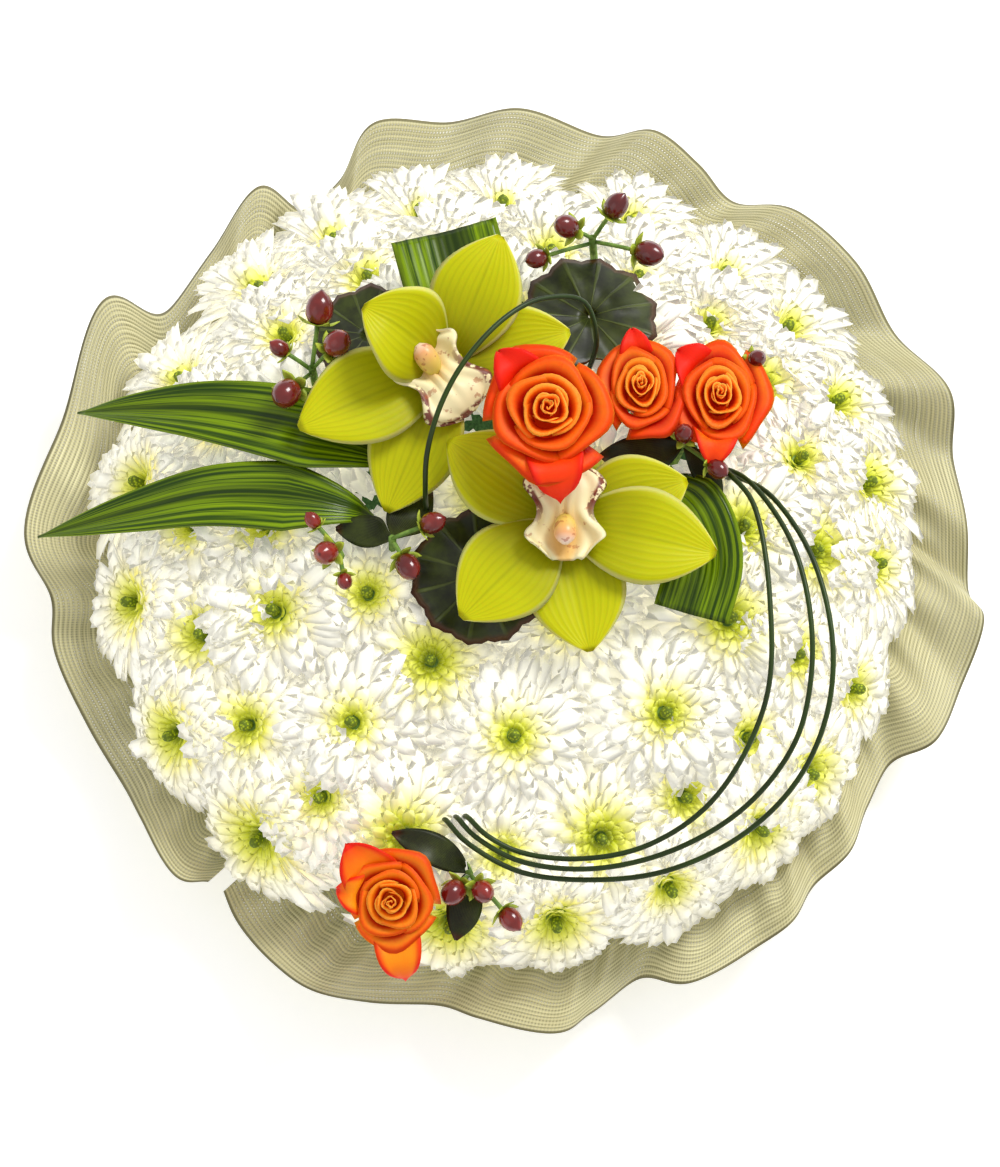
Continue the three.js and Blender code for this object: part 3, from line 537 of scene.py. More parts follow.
def petal_template():
    """A closed petal from 0 to 1 along X; its grain is along, across and front or back."""
    along = np.linspace(0, 1, PETAL_ROWS)
    points = np.zeros((PETAL_ROWS, 3, 3))
    points[..., 0] = along[:, None]
    points[..., 1] = np.array(PETAL_OUTLINE)[:, None] * np.array([-1, 0, 1])
    points[-1, 1, 0] -= 0.03
    made = Build()
    made.sheet(points, 2.0)
    mesh = made.mesh("petal", [])
    local = np.concatenate(made.points)
    mesh.attributes.new("local", "FLOAT_VECTOR", "POINT").data.foreach_set(
        "vector", local.astype(np.float32).ravel())
    return bpy.data.objects.new("petal", mesh)


template = petal_template()
print("one petal has", len(template.data.polygons), "faces")


# %% The petal tree
def petal_tree():
    tree = bpy.data.node_groups.new("petals", "GeometryNodeTree")
    face = tree.interface
    face.new_socket("Geometry", in_out="INPUT", socket_type="NodeSocketGeometry")
    for name, kind, value in (("Petal", "Object", None), ("Thickness", "Float", 0.0005),
                              ("Cup", "Float", 0.5), ("Sway", "Float", 0.5), ("Seed", "Int", 5),
                              ("Material", "Material", None)):
        socket = face.new_socket(name, in_out="INPUT", socket_type="NodeSocket" + kind)
        if value is not None:
            socket.default_value = value
    face.new_socket("Geometry", in_out="OUTPUT", socket_type="NodeSocketGeometry")
    entry = tree.nodes.new("NodeGroupInput")
    given = {socket.name: Value(tree, socket) for socket in entry.outputs if socket.name}
    geometry = given["Geometry"]

    def stored(name, kind="FLOAT"):
        return geometry.node("GeometryNodeInputNamedAttribute", {"data_type": kind}, {"Name": name})

    petal = geometry.node("GeometryNodeObjectInfo", None, {"Object": given["Petal"]})
    petal = Value(tree, petal.socket.node.outputs["Geometry"])
    copies = geometry.node("GeometryNodeInstanceOnPoints", None,
                           {"Points": geometry, "Instance": petal})
    real = geometry.node("GeometryNodeRealizeInstances", None, {"Geometry": copies})
    along, over, side = stored("local", "FLOAT_VECTOR").parts()
    axis, aim, centre = (stored(n, "FLOAT_VECTOR") for n in ("axis", "aim", "centre"))
    reach, broad, rise, curl, start, ripe = (
        stored(n) for n in ("reach", "broad", "rise", "curl", "start", "ripe"))
    sway = geometry.node("FunctionNodeRandomValue", {"data_type": "FLOAT"}, {
        2: -1.0, 3: 1.0, "ID": stored("number", "INT"), "Seed": given["Seed"]}, out=1)
    angle = rise + curl * along
    out = start + reach / curl * (angle.sin() - rise.sin())
    up = reach / curl * (rise.cos() - angle.cos())
    lift = given["Cup"] * broad * over * over + given["Thickness"] * 0.5 * side
    sideways = broad * over + given["Sway"] * sway * broad * along * along
    place = centre + axis.times(up + lift * angle.cos())
    place = place + aim.times(out - lift * angle.sin()) + axis.cross(aim).times(sideways)
    bent = geometry.node("GeometryNodeSetPosition", None, {"Geometry": real, "Position": place})
    marks = geometry.node("ShaderNodeCombineXYZ", None, {0: along, 1: over, 2: out / 0.03 * ripe})
    marked = geometry.node("GeometryNodeStoreNamedAttribute",
                           {"data_type": "FLOAT_VECTOR", "domain": "POINT"},
                           {"Geometry": bent, "Name": "grain", "Value": marks})
    smooth = geometry.node("GeometryNodeSetShadeSmooth", None, {"Geometry": marked})
    inked = geometry.node("GeometryNodeSetMaterial", None, {
        "Geometry": smooth, "Material": given["Material"]})
    done = tree.nodes.new("NodeGroupOutput")
    tree.links.new(inked.socket, done.inputs[0])
    return tree


tree = petal_tree()
print("the petal tree has", len(tree.nodes), "nodes")

# %% [markdown]
# Neighbouring heads press on each other. A petal that would cross the plane halfway to the
# next head is shortened a little and stands up more, as it does in a tight cushion of flowers.
# That keeps the heads apart as their solids are, and it gives the crowded rims their look.
# Round the rim a petal is raised step by step until its tip is clear of the ribbon. Heads at
# the back hold their low petals flatter and longer, and show less yellow, as in the picture.

# %% Petal rows
# How many, where they start, length, half width, rise and curl in degrees
ROWS = [
    (10, 2.0, 5.4, 1.5, 84, -44), (13, 2.8, 8.4, 2.0, 72, -46), (16, 3.6, 11.8, 2.4, 61, -50),
    (18, 4.4, 15.2, 2.8, 50, -54), (20, 5.0, 18.6, 3.1, 39, -54), (21, 5.6, 21.8, 3.3, 28, -50),
    (22, 6.2, 24.4, 3.5, 16, -44), (21, 6.6, 26.4, 3.6, 3, -36), (18, 6.8, 27.4, 3.6, -12, -24),
]
HEAD_REACH = 62                 # heads further apart than this never touch
CLOSE = 1.28                    # how far over the halfway plane a petal may reach
SHORTER = 0.55                  # share that a petal with no room at all loses
STAND_UP = 57                   # degrees more rise for such a petal
RIBBON_CLEAR = 4                # how far above the ribbon a petal's tip stays
RAISE = 6                       # degrees for each step up from the ribbon
RAISES = 9
BACK_RAISE = 46                 # degrees more rise for the low petals at the back
BACK_LONGER = 0.3
SIDE_LONGER = 1.1               # for rim petals that lie along the rim, where there is room


def room(head, way):
    """How far from a head's middle a petal may reach that way before it meets a neighbour."""
    least = 1e9
    for other in all_heads:
        gap = other["at"] - head["at"]
        apart = np.linalg.norm(gap)
        if other is head or apart > HEAD_REACH:
            continue
        toward = way @ gap / apart
        if toward > 0.05:
            least = min(least, apart / 2 * CLOSE / toward)
    return least


def ribbon_height(x, y):
    """How high the ribbon lies at a place outside the pad."""
    degrees = math.degrees(math.atan2(y, x)) % 360
    degrees += 360 if degrees < RIBBON_EDGE[0][0] else 0
    angles, outs, heights = zip(*RIBBON_EDGE)
    free = (math.hypot(x, y) - BASE_RADIUS) / (np.interp(degrees, angles, outs) - BASE_RADIUS)
    return RIBBON_GLUED + (np.interp(degrees, angles, heights) - RIBBON_GLUED) * max(0.0, free) ** 2


def fitted(head, aim, start, long, lean, bend):
    """The length and rise of a petal after its neighbours and the ribbon have had their say."""
    behind = max(0.0, -aim[2]) * np.clip(0.3 + head["at"][1] / DOME_RADIUS, 0, 1)
    lean += math.radians(BACK_RAISE) * behind
    long *= 1 + BACK_LONGER * behind
    free = room(head, aim)
    if free > HEAD_REACH:
        tangent = unit(np.cross(UP, head["at"]))
        long *= 1 + SIDE_LONGER * max(0.0, abs(aim @ tangent) - 0.7)
    for _ in range(RAISES):
        flat = start + long * math.cos(lean + bend / 2)
        tip = head["at"] + aim * flat + head["way"] * long * math.sin(lean + bend / 2)
        if tip[2] > ribbon_height(tip[0], tip[1]) + RIBBON_CLEAR:
            break
        lean += math.radians(RAISE)
        long *= 0.9
    short = 1 - free / flat if flat > free else 0.0
    return long * (1 - SHORTER * short), lean + math.radians(STAND_UP) * short


def petals_of(head, dice):
    """One record for each petal of a head, in millimetres and radians."""
    across = unit(np.cross([1.0, 0.0, 0.0], head["way"]))
    along = np.cross(head["way"], across)
    ripe = dice.uniform(0.85, 1.5) * (1 + 0.8 * max(0.0, head["at"][1] / DOME_RADIUS))
    size = head["size"]
    for level, (count, start, reach, broad, rise, curl) in enumerate(ROWS):
        for k in range(count):
            place = k + 0.5 * (level % 2) + dice.uniform(-0.25, 0.25)
            turn = head["spin"] + 2 * math.pi * place / count
            aim = across * math.cos(turn) + along * math.sin(turn)
            long = reach * size * dice.uniform(0.9, 1.08)
            lean = math.radians(rise + dice.uniform(-7, 7))
            bend = math.radians(curl + dice.uniform(-8, 8))
            long, lean = fitted(head, aim, start * size, long, lean, bend)
            yield {"aim": aim, "reach": long, "broad": broad * size * dice.uniform(0.9, 1.1),
                   "rise": lean, "curl": bend, "start": start * size, "ripe": ripe}


# %% Petal points
def petal_cloud(heads, dice):
    """A mesh with one loose point for each petal of these heads."""
    records = [(head, petal) for head in heads for petal in petals_of(head, dice)]
    mesh = bpy.data.meshes.new("petal points")
    mesh.from_pydata([head["at"] * MM for head, _ in records], [], [])
    vectors = {"axis": [head["way"] for head, _ in records],
               "aim": [petal["aim"] for _, petal in records],
               "centre": [head["at"] * MM for head, _ in records]}
    for name, values in vectors.items():
        mesh.attributes.new(name, "FLOAT_VECTOR", "POINT").data.foreach_set("vector", np.ravel(values))
    for name in ("reach", "broad", "rise", "curl", "start", "ripe"):
        scale = MM if name in ("reach", "broad", "start") else 1
        mesh.attributes.new(name, "FLOAT", "POINT").data.foreach_set(
            "value", [petal[name] * scale for _, petal in records])
    mesh.attributes.new("number", "INT", "POINT").data.foreach_set("value", range(len(records)))
    return mesh


def grow_petals(heads, dice, seed):
    """Runs the petal tree on a cloud of points and returns the plain mesh."""
    cloud = put("petals", petal_cloud(heads, dice))
    modifier = cloud.modifiers.new("petals", "NODES")
    modifier.node_group = tree
    values = {"Petal": template, "Thickness": 0.5 * MM, "Cup": 0.38, "Sway": 0.45, "Seed": seed,
              "Material": white_material}
    for item in tree.interface.items_tree:
        if item.in_out == "INPUT" and item.name in values:
            modifier[item.identifier] = values[item.name]
    ready = cloud.evaluated_get(bpy.context.evaluated_depsgraph_get())
    mesh = bpy.data.meshes.new_from_object(ready)
    bpy.data.objects.remove(cloud)
    return mesh


# %% Petal finish
def paint_white_and_glow(grain, place):
    along, over, out = grain.parts()
    base = out.ramp([(0.0, (92, 110, 0)), (0.09, (142, 154, 0)), (0.16, (196, 202, 28)),
                     (0.26, (230, 230, 98)), (0.4, (248, 243, 172)), (0.56, (254, 249, 216)),
                     (0.78, (255, 252, 236))])
    rib = (over * 9.0).cos() * 0.5 + 0.5
    foot = 1 - along.step(0.0, 0.5)
    colour = (foot * 0.45).blend(base, (232, 230, 160))
    colour = (rib * 0.05).blend(colour, (226, 224, 214))
    # Emission Color: the petals glow faintly in their own colour, painted light that brightens their
    # shade.
    return {"Base Color": colour, "Emission Color": colour, "Bump": (0.25, rib, 0.0003)}


def paint_green(grain, place):
    spots = noise(place, 260.0)
    return {"Base Color": spots.step(0.3, 0.7).blend((92, 128, 44), (128, 160, 66))}


def paint_eye_and_glow(grain, place):
    florets = place.node("ShaderNodeTexVoronoi", None, {"Vector": place, "Scale": 900.0})
    colour = florets.step(0.1, 0.6).blend((164, 180, 16), (88, 106, 0))
    # Emission Color: the eye glows faintly in its own colour, painted light that brightens the shade
    # deep in the eye.
    return {"Base Color": colour, "Emission Color": colour, "Bump": (0.8, florets, 0.0006)}


# Emission Strength: how brightly the petals and the eye glow, painted light.
white_material = material("white petals", paint_white_and_glow, 0.6, Emission_Strength=0.3)
green_material = material("green stems", paint_green, 0.6)
eye_material = material("eye", paint_eye_and_glow, 0.7, Emission_Strength=0.15)


# %% [markdown]
# Under its petals each head has a green cup, and in its middle a small button of unopened
# florets. The side stems of one cut stem meet at a fork, and the cut stem goes on into the
# foam. Almost none of that shows, but a side view between two heads should find stems there
# and not air.


# %% Sprays
def spray_green(spray):
    build = Build()
    for head in spray["heads"]:
        at, way, size = head["at"], head["way"], head["size"]
        back = at - way * 7 * size
        build.tube([at + way * h * size for h in (-9, -7.5, -4, 0, 2)],
                   [2 * size, 6 * size, 8.5 * size, 7 * size, 2 * size], 8, 1)
        build.tube([at + way * h * size for h in (1, 4, 7.4, 8.8, 9.4)],
                   [1.5 * size, 1.8 * size, 2.1 * size, 1.4 * size, 0.4], 8, 2)
        build.tube(even([back, (back + spray["fork"]) / 2 - spray["way"], spray["fork"]], 5), 1.4, 6, 1)
    top, end = spray["fork"] + spray["way"], spray["fork"] - spray["way"] * (STEM_DEPTH + 7)
    build.tube([top, (top + end) / 2, end], 2.0, 8, 1)
    return build


def join(target, other):
    with bpy.context.temp_override(active_object=target, selected_editable_objects=[target, other]):
        bpy.ops.object.join()


dice = random.Random(8)
for index, spray in enumerate(sprays, 1):
    name = f"chrysanthemum_spray_{index:02d}"
    petals = grow_petals(spray["heads"], dice, index)
    green = spray_green(spray).mesh(name, [white_material, green_material, eye_material])
    made = piece(name + "_bloom", name, green)
    join(made, put("petals", petals))
    triangles[made.name] = count_triangles(made.data)
bpy.data.objects.remove(template)
print("sprays", sum(triangles[n] for n in triangles if n.startswith("chrys")), "triangles")


# %% [markdown]
# ## Stems into the foam
# Every other bloom has a stem that leaves its back, turns straight down a little above the
# foam and stands 25 mm deep in it, where the CAD foam has its hole.

# %% Stems
KNEE = 8


def add_stem(build, top, foam, radius, ink_number):
    top, knee, end = (np.array(p, float) for p in (
        top, (*foam, FOAM_TOP + KNEE), (*foam, FOAM_TOP - STEM_DEPTH)))
    line = [top, knee + unit(top - knee) * radius, knee - UP * radius, end]
    build.tube(line, radius, 7, ink_number)


# %% [markdown]
# Every other petal and leaf is a grid along its middle line. Two functions of the way along
# say how wide it is and how far its edges rise above the middle, and a third may add a ruffle
# or a keel.

# %% Petals and leaves along a line
def petal_grid(line, half_width, rise, rows, columns, side=None, folded=False, wave=None):
    middle = even(line, rows)
    tangent = unit(np.gradient(middle, axis=0))
    heading = np.asarray(line[-1], float) - np.asarray(line[0], float)
    side = np.cross(heading, UP) if side is None else np.asarray(side, float)
    lateral = unit(side - tangent * (tangent @ unit(side))[:, None] * np.linalg.norm(side))
    normal = np.cross(lateral, tangent)
    along = np.linspace(0, 1, rows)
    spread = np.linspace(-1, 1, columns)
    width = np.array([half_width(u) for u in along])
    lift = np.array([rise(u) for u in along])[:, None] * (np.abs(spread) if folded else spread**2)
    if wave is not None:
        lift = lift + np.array([[wave(u, v) for v in spread] for u in along])
    return (middle[:, None] + lateral[:, None] * (width[:, None] * spread)[..., None]
            + normal[:, None] * lift[..., None])


# %% [markdown]
# ## Cymbidium orchids
# An orchid has three sepals and two petals that look alike, and a lip that differs. The five
# are long ovals with a shallow channel, waxy yellow-green with fine lengthwise veins and a
# paler edge. The lip is a cream tongue with two side lobes that stand up beside the column,
# and a ruffled margin with maroon blotches. The flower lies open on its back here.

# %% Orchid data
# A petal is its angle, length, width and the height of its tip. The lip has an angle too, and
# aside is how far it lies from the flower's middle
ORCHIDS = [
    {"at": (-20, 60, 102), "faces": (0.03, -0.08, 1), "foam": (-26, 57), "lip": -50, "aside": (-9, 1),
     "petals": [(68, 50, 34, 10), (153, 35, 36, 22), (205, 60, 36, 7), (248, 59, 34, -3),
                (15, 46, 30, 4)]},
    {"at": (21, 0, 104), "faces": (0.02, -0.08, 1), "foam": (25, -2), "lip": 90, "aside": (1, -7),
     "petals": [(282, 49, 36, 2), (225, 51, 36, 2), (145, 50, 34, 5), (347, 57, 36, 6),
                (18, 48, 32, 2)]},
]


def around(degrees):
    angle = math.radians(degrees)
    return np.array([math.cos(angle), math.sin(angle), 0.0])


# %% Orchid petals and lip
def orchid_petal(angle, length, width, tip, order):
    way = around(angle)
    over = 2.2 * (order % 2)
    line = [way * out + UP * height for out, height in (
        (3, -0.5), (length * 0.35, tip * 0.5 + 1 + over), (length * 0.7, tip * 0.9 + 1 + over),
        (length, tip + over * 0.5))]

    def outline(u):
        return math.sin(math.pi * (0.07 + 0.915 * u**1.12)) ** 0.88

    def wave(u, v):
        edge = 0.9 * math.sin(7 * u + 2.1 * order) * abs(v) ** 3
        keel = -0.8 * math.exp(-(v * 4) ** 2) * math.sin(math.pi * u)
        return edge + keel

    return petal_grid(line, lambda u: width / 2 * outline(u), lambda u: 1.6 * outline(u),
                      20, 13, wave=wave)


def orchid_lip(angle):
    """A tongue with two side lobes that stand up beside the column."""
    way = around(angle)
    line = [way * out + UP * height for out, height in (
        (-9, 7.5), (-3, 5.6), (4, 6.2), (10, 9.0), (17, 10.8), (23, 9.6), (27, 6.0))]

    def half_width(u):
        lobes = 12 * math.exp(-((u - 0.25) / 0.24) ** 2)
        tongue = 12.5 * math.exp(-((u - 0.77) / 0.24) ** 2)
        return (2.6 + lobes + tongue) * (1 - 0.55 * (max(0.0, u - 0.9) / 0.1) ** 2)

    def rise(u):
        return 7 * math.exp(-((u - 0.25) / 0.24) ** 2) - 1.5 * u

    def wave(u, v):
        ruffle = 1.5 * math.sin(12 * v + 15 * u) * abs(v) ** 2
        keels = 1.8 * math.exp(-((abs(v) - 0.16) / 0.08) ** 2) * math.exp(-((u - 0.5) / 0.25) ** 2)
        return ruffle + keels

    return petal_grid(line, half_width, rise, 34, 31, wave=wave)


# %% Orchid finishes
def paint_tepal(grain, place):
    along, over, _ = grain.parts()
    width = over.absolute()
    veins = (over * 40.0 + noise(place, 60.0) * 2.0).sin() * 0.5 + 0.5
    body = along.ramp([(0.0, (112, 110, 0)), (0.3, (160, 160, 0)), (0.6, (186, 188, 0)),
                       (1.0, (200, 198, 8))])
    colour = (veins.step(0.55, 1.0) * 0.22).blend(body, (140, 144, 0))
    colour = ((1 - width.step(0.0, 0.07)) * 0.3).blend(colour, (142, 146, 0))
    colour = (width.step(0.88, 0.98) * 0.8).blend(colour, (238, 234, 140))
    patch = noise(place, 34.0)
    colour = (patch.step(0.4, 0.8) * 0.3).blend(colour, (210, 208, 20))
    return {"Base Color": colour, "Bump": (0.2, veins, 0.0004)}


def paint_lip(grain, place):
    along, over, _ = grain.parts()
    width = over.absolute()
    blotch = noise(place, 230.0, 3.0)
    margin = (width.step(0.68, 0.88) + along.step(0.86, 0.97)).step(0.2, 0.8) * along.step(0.3, 0.6)
    spots = blotch.step(0.43, 0.5)
    throat = (1 - along.step(0.35, 0.7)) * (1 - width.step(0.2, 0.6))
    colour = (throat * 0.75).blend((246, 236, 184), (226, 168, 60))
    colour = (margin * spots * 0.95).blend(colour, (112, 20, 16))
    colour = (blotch.step(0.6, 0.66) * 0.6).blend(colour, (176, 96, 52))
    return {"Base Color": colour, "Bump": (0.3, blotch, 0.0005)}


def paint_column(grain, place):
    along, _, _ = grain.parts()
    body = along.ramp([(0.0, (206, 196, 70)), (0.5, (232, 196, 96)), (0.78, (236, 170, 112)),
                       (1.0, (250, 222, 204))])
    return {"Base Color": (noise(place, 260.0).step(0.56, 0.62) * 0.6).blend(body, (170, 74, 40))}


tepal_material = material("orchid petals", paint_tepal, 0.45, Specular_IOR_Level=0.15,
                          Subsurface_Weight=0.1, Subsurface_Scale=0.002)
lip_material = material("orchid lip", paint_lip, 0.45)
column_material = material("orchid column", paint_column, 0.35)


# %% Orchids
STEM_RADIUS = 2.2
TEPAL_THICKNESS = 1.1
LIP_THICKNESS = 0.8
COLUMN = [(6, 7), (3, 11), (0, 13.5), (-4, 14.5)]      # toward the lip's tip, and up
COLUMN_RADII = [2.8, 3.4, 3.8, 4.1, 4.2, 4.2, 4.0, 3.1, 1.2]


def place_build(build, turn, at):
    build.points = [p @ turn.T + np.asarray(at, float) for p in build.points]
    return build


for index, orchid in enumerate(ORCHIDS, 1):
    turn = turned_to(orchid["faces"])
    petals = Build()
    for order, spec in enumerate(orchid["petals"]):
        petals.sheet(orchid_petal(*spec, order), TEPAL_THICKNESS)
    petals.tube([[0, 0, -4.5], [0, 0, -2], [0, 0, 1.5], [0, 0, 3.6]], [2.6, 6, 6, 1.5], 10)
    place_build(petals, turn, orchid["at"])
    add_stem(petals, np.array(orchid["at"], float) - UP, orchid["foam"], STEM_RADIUS, 1)
    name = f"orchid_{index}_petals"
    piece(name + "_bloom", name, petals.mesh(name, [tepal_material, green_material]))
    lip = Build()
    lip.sheet(orchid_lip(orchid["lip"]), LIP_THICKNESS)
    way = around(orchid["lip"])
    spine = even([way * out + UP * height for out, height in COLUMN], len(COLUMN_RADII))
    lip.tube(spine, COLUMN_RADII, 12, 1)
    place_build(lip, turn, np.add(orchid["at"], (*orchid["aside"], 0)))
    name = f"orchid_{index}_lip"
    piece(name + "_bloom", name, lip.mesh(name, [lip_material, column_material]))
    print("orchid", index)

# %% [markdown]
# ## Roses
# A half-open rose is a spiral. Each new petal stands 137.5 degrees further round than the one
# before, a little further out and a little lower, so that no two lie in line. Inner petals
# wrap nearly all the way round, and outer ones less and less. Their rims roll outwards, which
# catches the light and draws the spiral. The finish adds a pale painted highlight on the inner
# rims, the rose's own red edge on the outer ones, and painted shade below the rims. The open
# outer petals follow the CAD petals.

# %% Rose data
# turn is the turn of the whole spiral, stretch makes a rose broader to the side and up the
# picture, and warm is how yellow it is, from 0 to 3. An extra petal is its angle, how far out
# its tip is, its half width, how far the tip hangs and its tone, where 1 is the reddest
ROSES = [
    {"at": (16, 35, 114), "faces": (0, -0.1, 1), "size": 0.88, "foam": (8, 40), "turn": 0,
     "stretch": (1, 1), "warm": 0, "extra": [(130, 32, 14, 2, 0.99), (278, 37, 14, 8, 0.92)]},
    {"at": (50, 48, 94), "faces": (0, 0.12, 1), "size": 0.56, "foam": (46, 46), "turn": 45,
     "stretch": (1.0, 1.36), "warm": 0, "extra": [(100, 31, 15, 1, 0.96)]},
    {"at": (78, 46, 90), "faces": (0.05, 0.05, 1), "size": 0.66, "foam": (76, 46), "turn": 95,
     "stretch": (0.95, 1.22), "warm": 0, "extra": [(138, 33, 17, 2, 0.99), (262, 34, 17, 3, 0.86)]},
    {"at": (-39, -131, 74), "faces": (-0.05, -0.35, 1), "size": 0.64, "foam": (-50, -101),
     "turn": 150, "stretch": (1, 1), "warm": 3,
     "extra": [(128, 41, 20, 2, 0.9), (168, 32, 15, 3, 0.86), (278, 47, 16, 8, 0.88)]},
]
SPIRAL = 16                     # petals of the spiral
GOLDEN = 137.5


# %% Rose petals
def spiral_petal(order):
    """One petal of the spiral, in millimetres for a rose of size 1."""
    share = order / (SPIRAL - 1)
    radius = 1.3 + 20.5 * share**1.4
    top = 33.5 - 6.0 * share
    wrap = math.radians(150 - 92 * share)
    up, spread = np.meshgrid(np.linspace(0, 1, 12)**0.8, np.linspace(-1, 1, 17), indexing="ij")
    angle = math.radians(GOLDEN * order) + spread * wrap
    roll = np.maximum(0, (up - 0.68) / 0.32) ** 2
    point = np.exp(-(spread / 0.3) ** 2)
    uneven = (0.4 + 0.6 * share) * np.sin(3 * angle + 2 * order) * up
    out = radius * (0.6 + 0.4 * up**0.6) + 0.8 * spread + uneven
    out = out + roll * (0.5 + 7.6 * share**1.4) * (0.8 + 0.5 * point)
    height = top * (0.12 + 0.88 * up) - 3.2 * up * spread**4 * (0.6 + share) - roll * (0.3 + 3 * share)
    grid = np.stack([np.cos(angle) * out, np.sin(angle) * out, height], axis=-1)
    return grid[:, ::-1], share


def extra_petal(degrees, reach, half, hang):
    """An outer petal that has opened further; its tip is drawn to a soft point."""
    way = around(degrees)
    line = [way * out + UP * height for out, height in (
        (8, 5), (17, 16), (reach * 0.68, 27 - hang * 0.3), (reach * 0.88, 27 - hang * 0.7),
        (reach, 25.5 - hang * 1.5))]

    def half_width(u):
        end = max(0.0, 1 - (max(0.0, u - 0.4) / 0.6) ** 1.45) ** 0.85
        return max(0.6, (4 + (half - 4) * math.sin(math.pi * (0.05 + 0.55 * u))) * end)

    def rise(u):
        return (1 - u) * half * 0.55

    def wave(u, v):
        return -1.3 * abs(v) ** 3 * u + 0.7 * math.sin(4 * v + degrees) * u

    return petal_grid(line, half_width, rise, 18, 15, side=(way[1], -way[0], 0.0), wave=wave)


# %% Rose finish
def paint_rose_with_painted_light(grain, place):
    up, over, tone = grain.parts()
    share = tone.maths("FRACT", tone)
    warm = (tone - share) / 4.0 * (1 - share.step(0.86, 0.95))
    veins = noise(grain * (2.0, 26.0, 1.0), 1.0, 2.0)
    colour = share.ramp([(0.0, (255, 112, 0)), (0.6, (255, 106, 0)), (0.82, (252, 80, 0)),
                         (1.0, (226, 26, 0))])
    patch = noise(place, 45.0).step(0.4, 0.7) * (1 - share.step(0.8, 0.95))
    colour = (warm + (1 - warm) * patch * 0.6).blend(colour, (255, 160, 16))
    extra = share.step(0.8, 0.84)
    # Painted shade: the spiral petals turn deep red below their rims, where the crevices between them
    # lie in shadow.
    colour = ((1 - up.step(0.74, 0.99)) * (1 - extra) * 0.95).blend(colour, (164, 4, 0))
    # The rims: a pale yellow-orange painted highlight on the inner petals, and the rose's own red edge
    # on the outer and open petals.
    rim = share.ramp([(0.0, (255, 176, 66)), (0.4, (255, 150, 40)), (0.55, (246, 70, 2)),
                      (0.92, (214, 20, 0))])
    edge = up.step(0.86, 0.98) + extra * (over.absolute().step(0.6, 0.95) + up.step(0.6, 0.98))
    colour = (edge * 0.9).blend(colour, rim)
    colour = (veins.step(0.45, 0.8) * 0.2).blend(colour, (236, 44, 0))
    # Emission Color: the petals glow faintly in their own colour, painted light.
    return {"Base Color": colour, "Emission Color": colour, "Bump": (0.15, veins, 0.0004)}


# Emission Strength: the faint glow of the rose petals, painted light.
rose_material = material("rose petals", paint_rose_with_painted_light, 0.55, Specular_IOR_Level=0.2,
                         Emission_Strength=0.14, Subsurface_Weight=0.3, Subsurface_Scale=0.004)


# %% Roses
SPIRAL_THICKNESS = 0.7
EXTRA_THICKNESS = 0.9
CALYX = [(2, -1.5), (7, -2.6), (12, -4.6), (17, -8)]   # a sepal's line, outwards and up
CALYX_THICKNESS = 0.7


def rose_petals(rose):
    build = Build()
    warm = rose["warm"]
    for order in range(SPIRAL):
        grid, share = spiral_petal(order)
        build.sheet(grid, SPIRAL_THICKNESS, 0, toned(grid, warm + 0.8 * share))
    for degrees, reach, half, hang, tone in rose["extra"]:
        grid = extra_petal(degrees - rose["turn"], reach, half, hang)
        build.sheet(grid, EXTRA_THICKNESS, 0, toned(grid, warm + tone))
    build.tube([UP * 0, UP * 2, UP * 8, UP * 20, UP * 27], [3, 8, 9, 5, 1], 10, 0, warm + 0.9)
    build.points = [p * rose["size"] for p in build.points]
    return build


def rose_calyx(rose):
    build = Build()
    size = rose["size"]
    for k in range(5):
        way = around(72 * k)
        line = [(way * out + UP * height) * size for out, height in CALYX]
        grid = petal_grid(line, lambda u: size * (0.5 + 3 * math.sin(math.pi * (0.2 + 0.78 * u))),
                          lambda u: -0.6, 8, 5)
        build.sheet(grid, CALYX_THICKNESS)
    build.tube([UP * -9 * size, UP * -6 * size, UP * -3 * size, UP * -0.6],
               [STEM_RADIUS, 5 * size, 6 * size, 3], 9)
    return build


for index, rose in enumerate(ROSES, 1):
    turn = turned_to(rose["faces"], rose["turn"])
    name = f"rose_{index}_petals"
    bloom = place_build(rose_petals(rose), np.diag([*rose["stretch"], 1.0]) @ turn, rose["at"])
    piece(name + "_bloom", name, bloom.mesh(name, [rose_material]))
    name = f"rose_{index}_calyx"
    green = place_build(rose_calyx(rose), turn, rose["at"])
    neck = np.array(rose["at"], float) + turn @ np.array([0, 0, -4.0])
    add_stem(green, neck, rose["foam"], STEM_RADIUS, 0)
    piece(name + "_green", name, green.mesh(name, [green_material]))
    print("rose", index)

# %% [markdown]
# ## Berry sprigs
# The dark berries are hypericum: an egg-shaped fruit that ends in a small point and sits on
# five pale green sepals. Each sprig has one stem that forks to its berries, and some have a
# few small dark leaves. Their finish is that of the round leaves too.

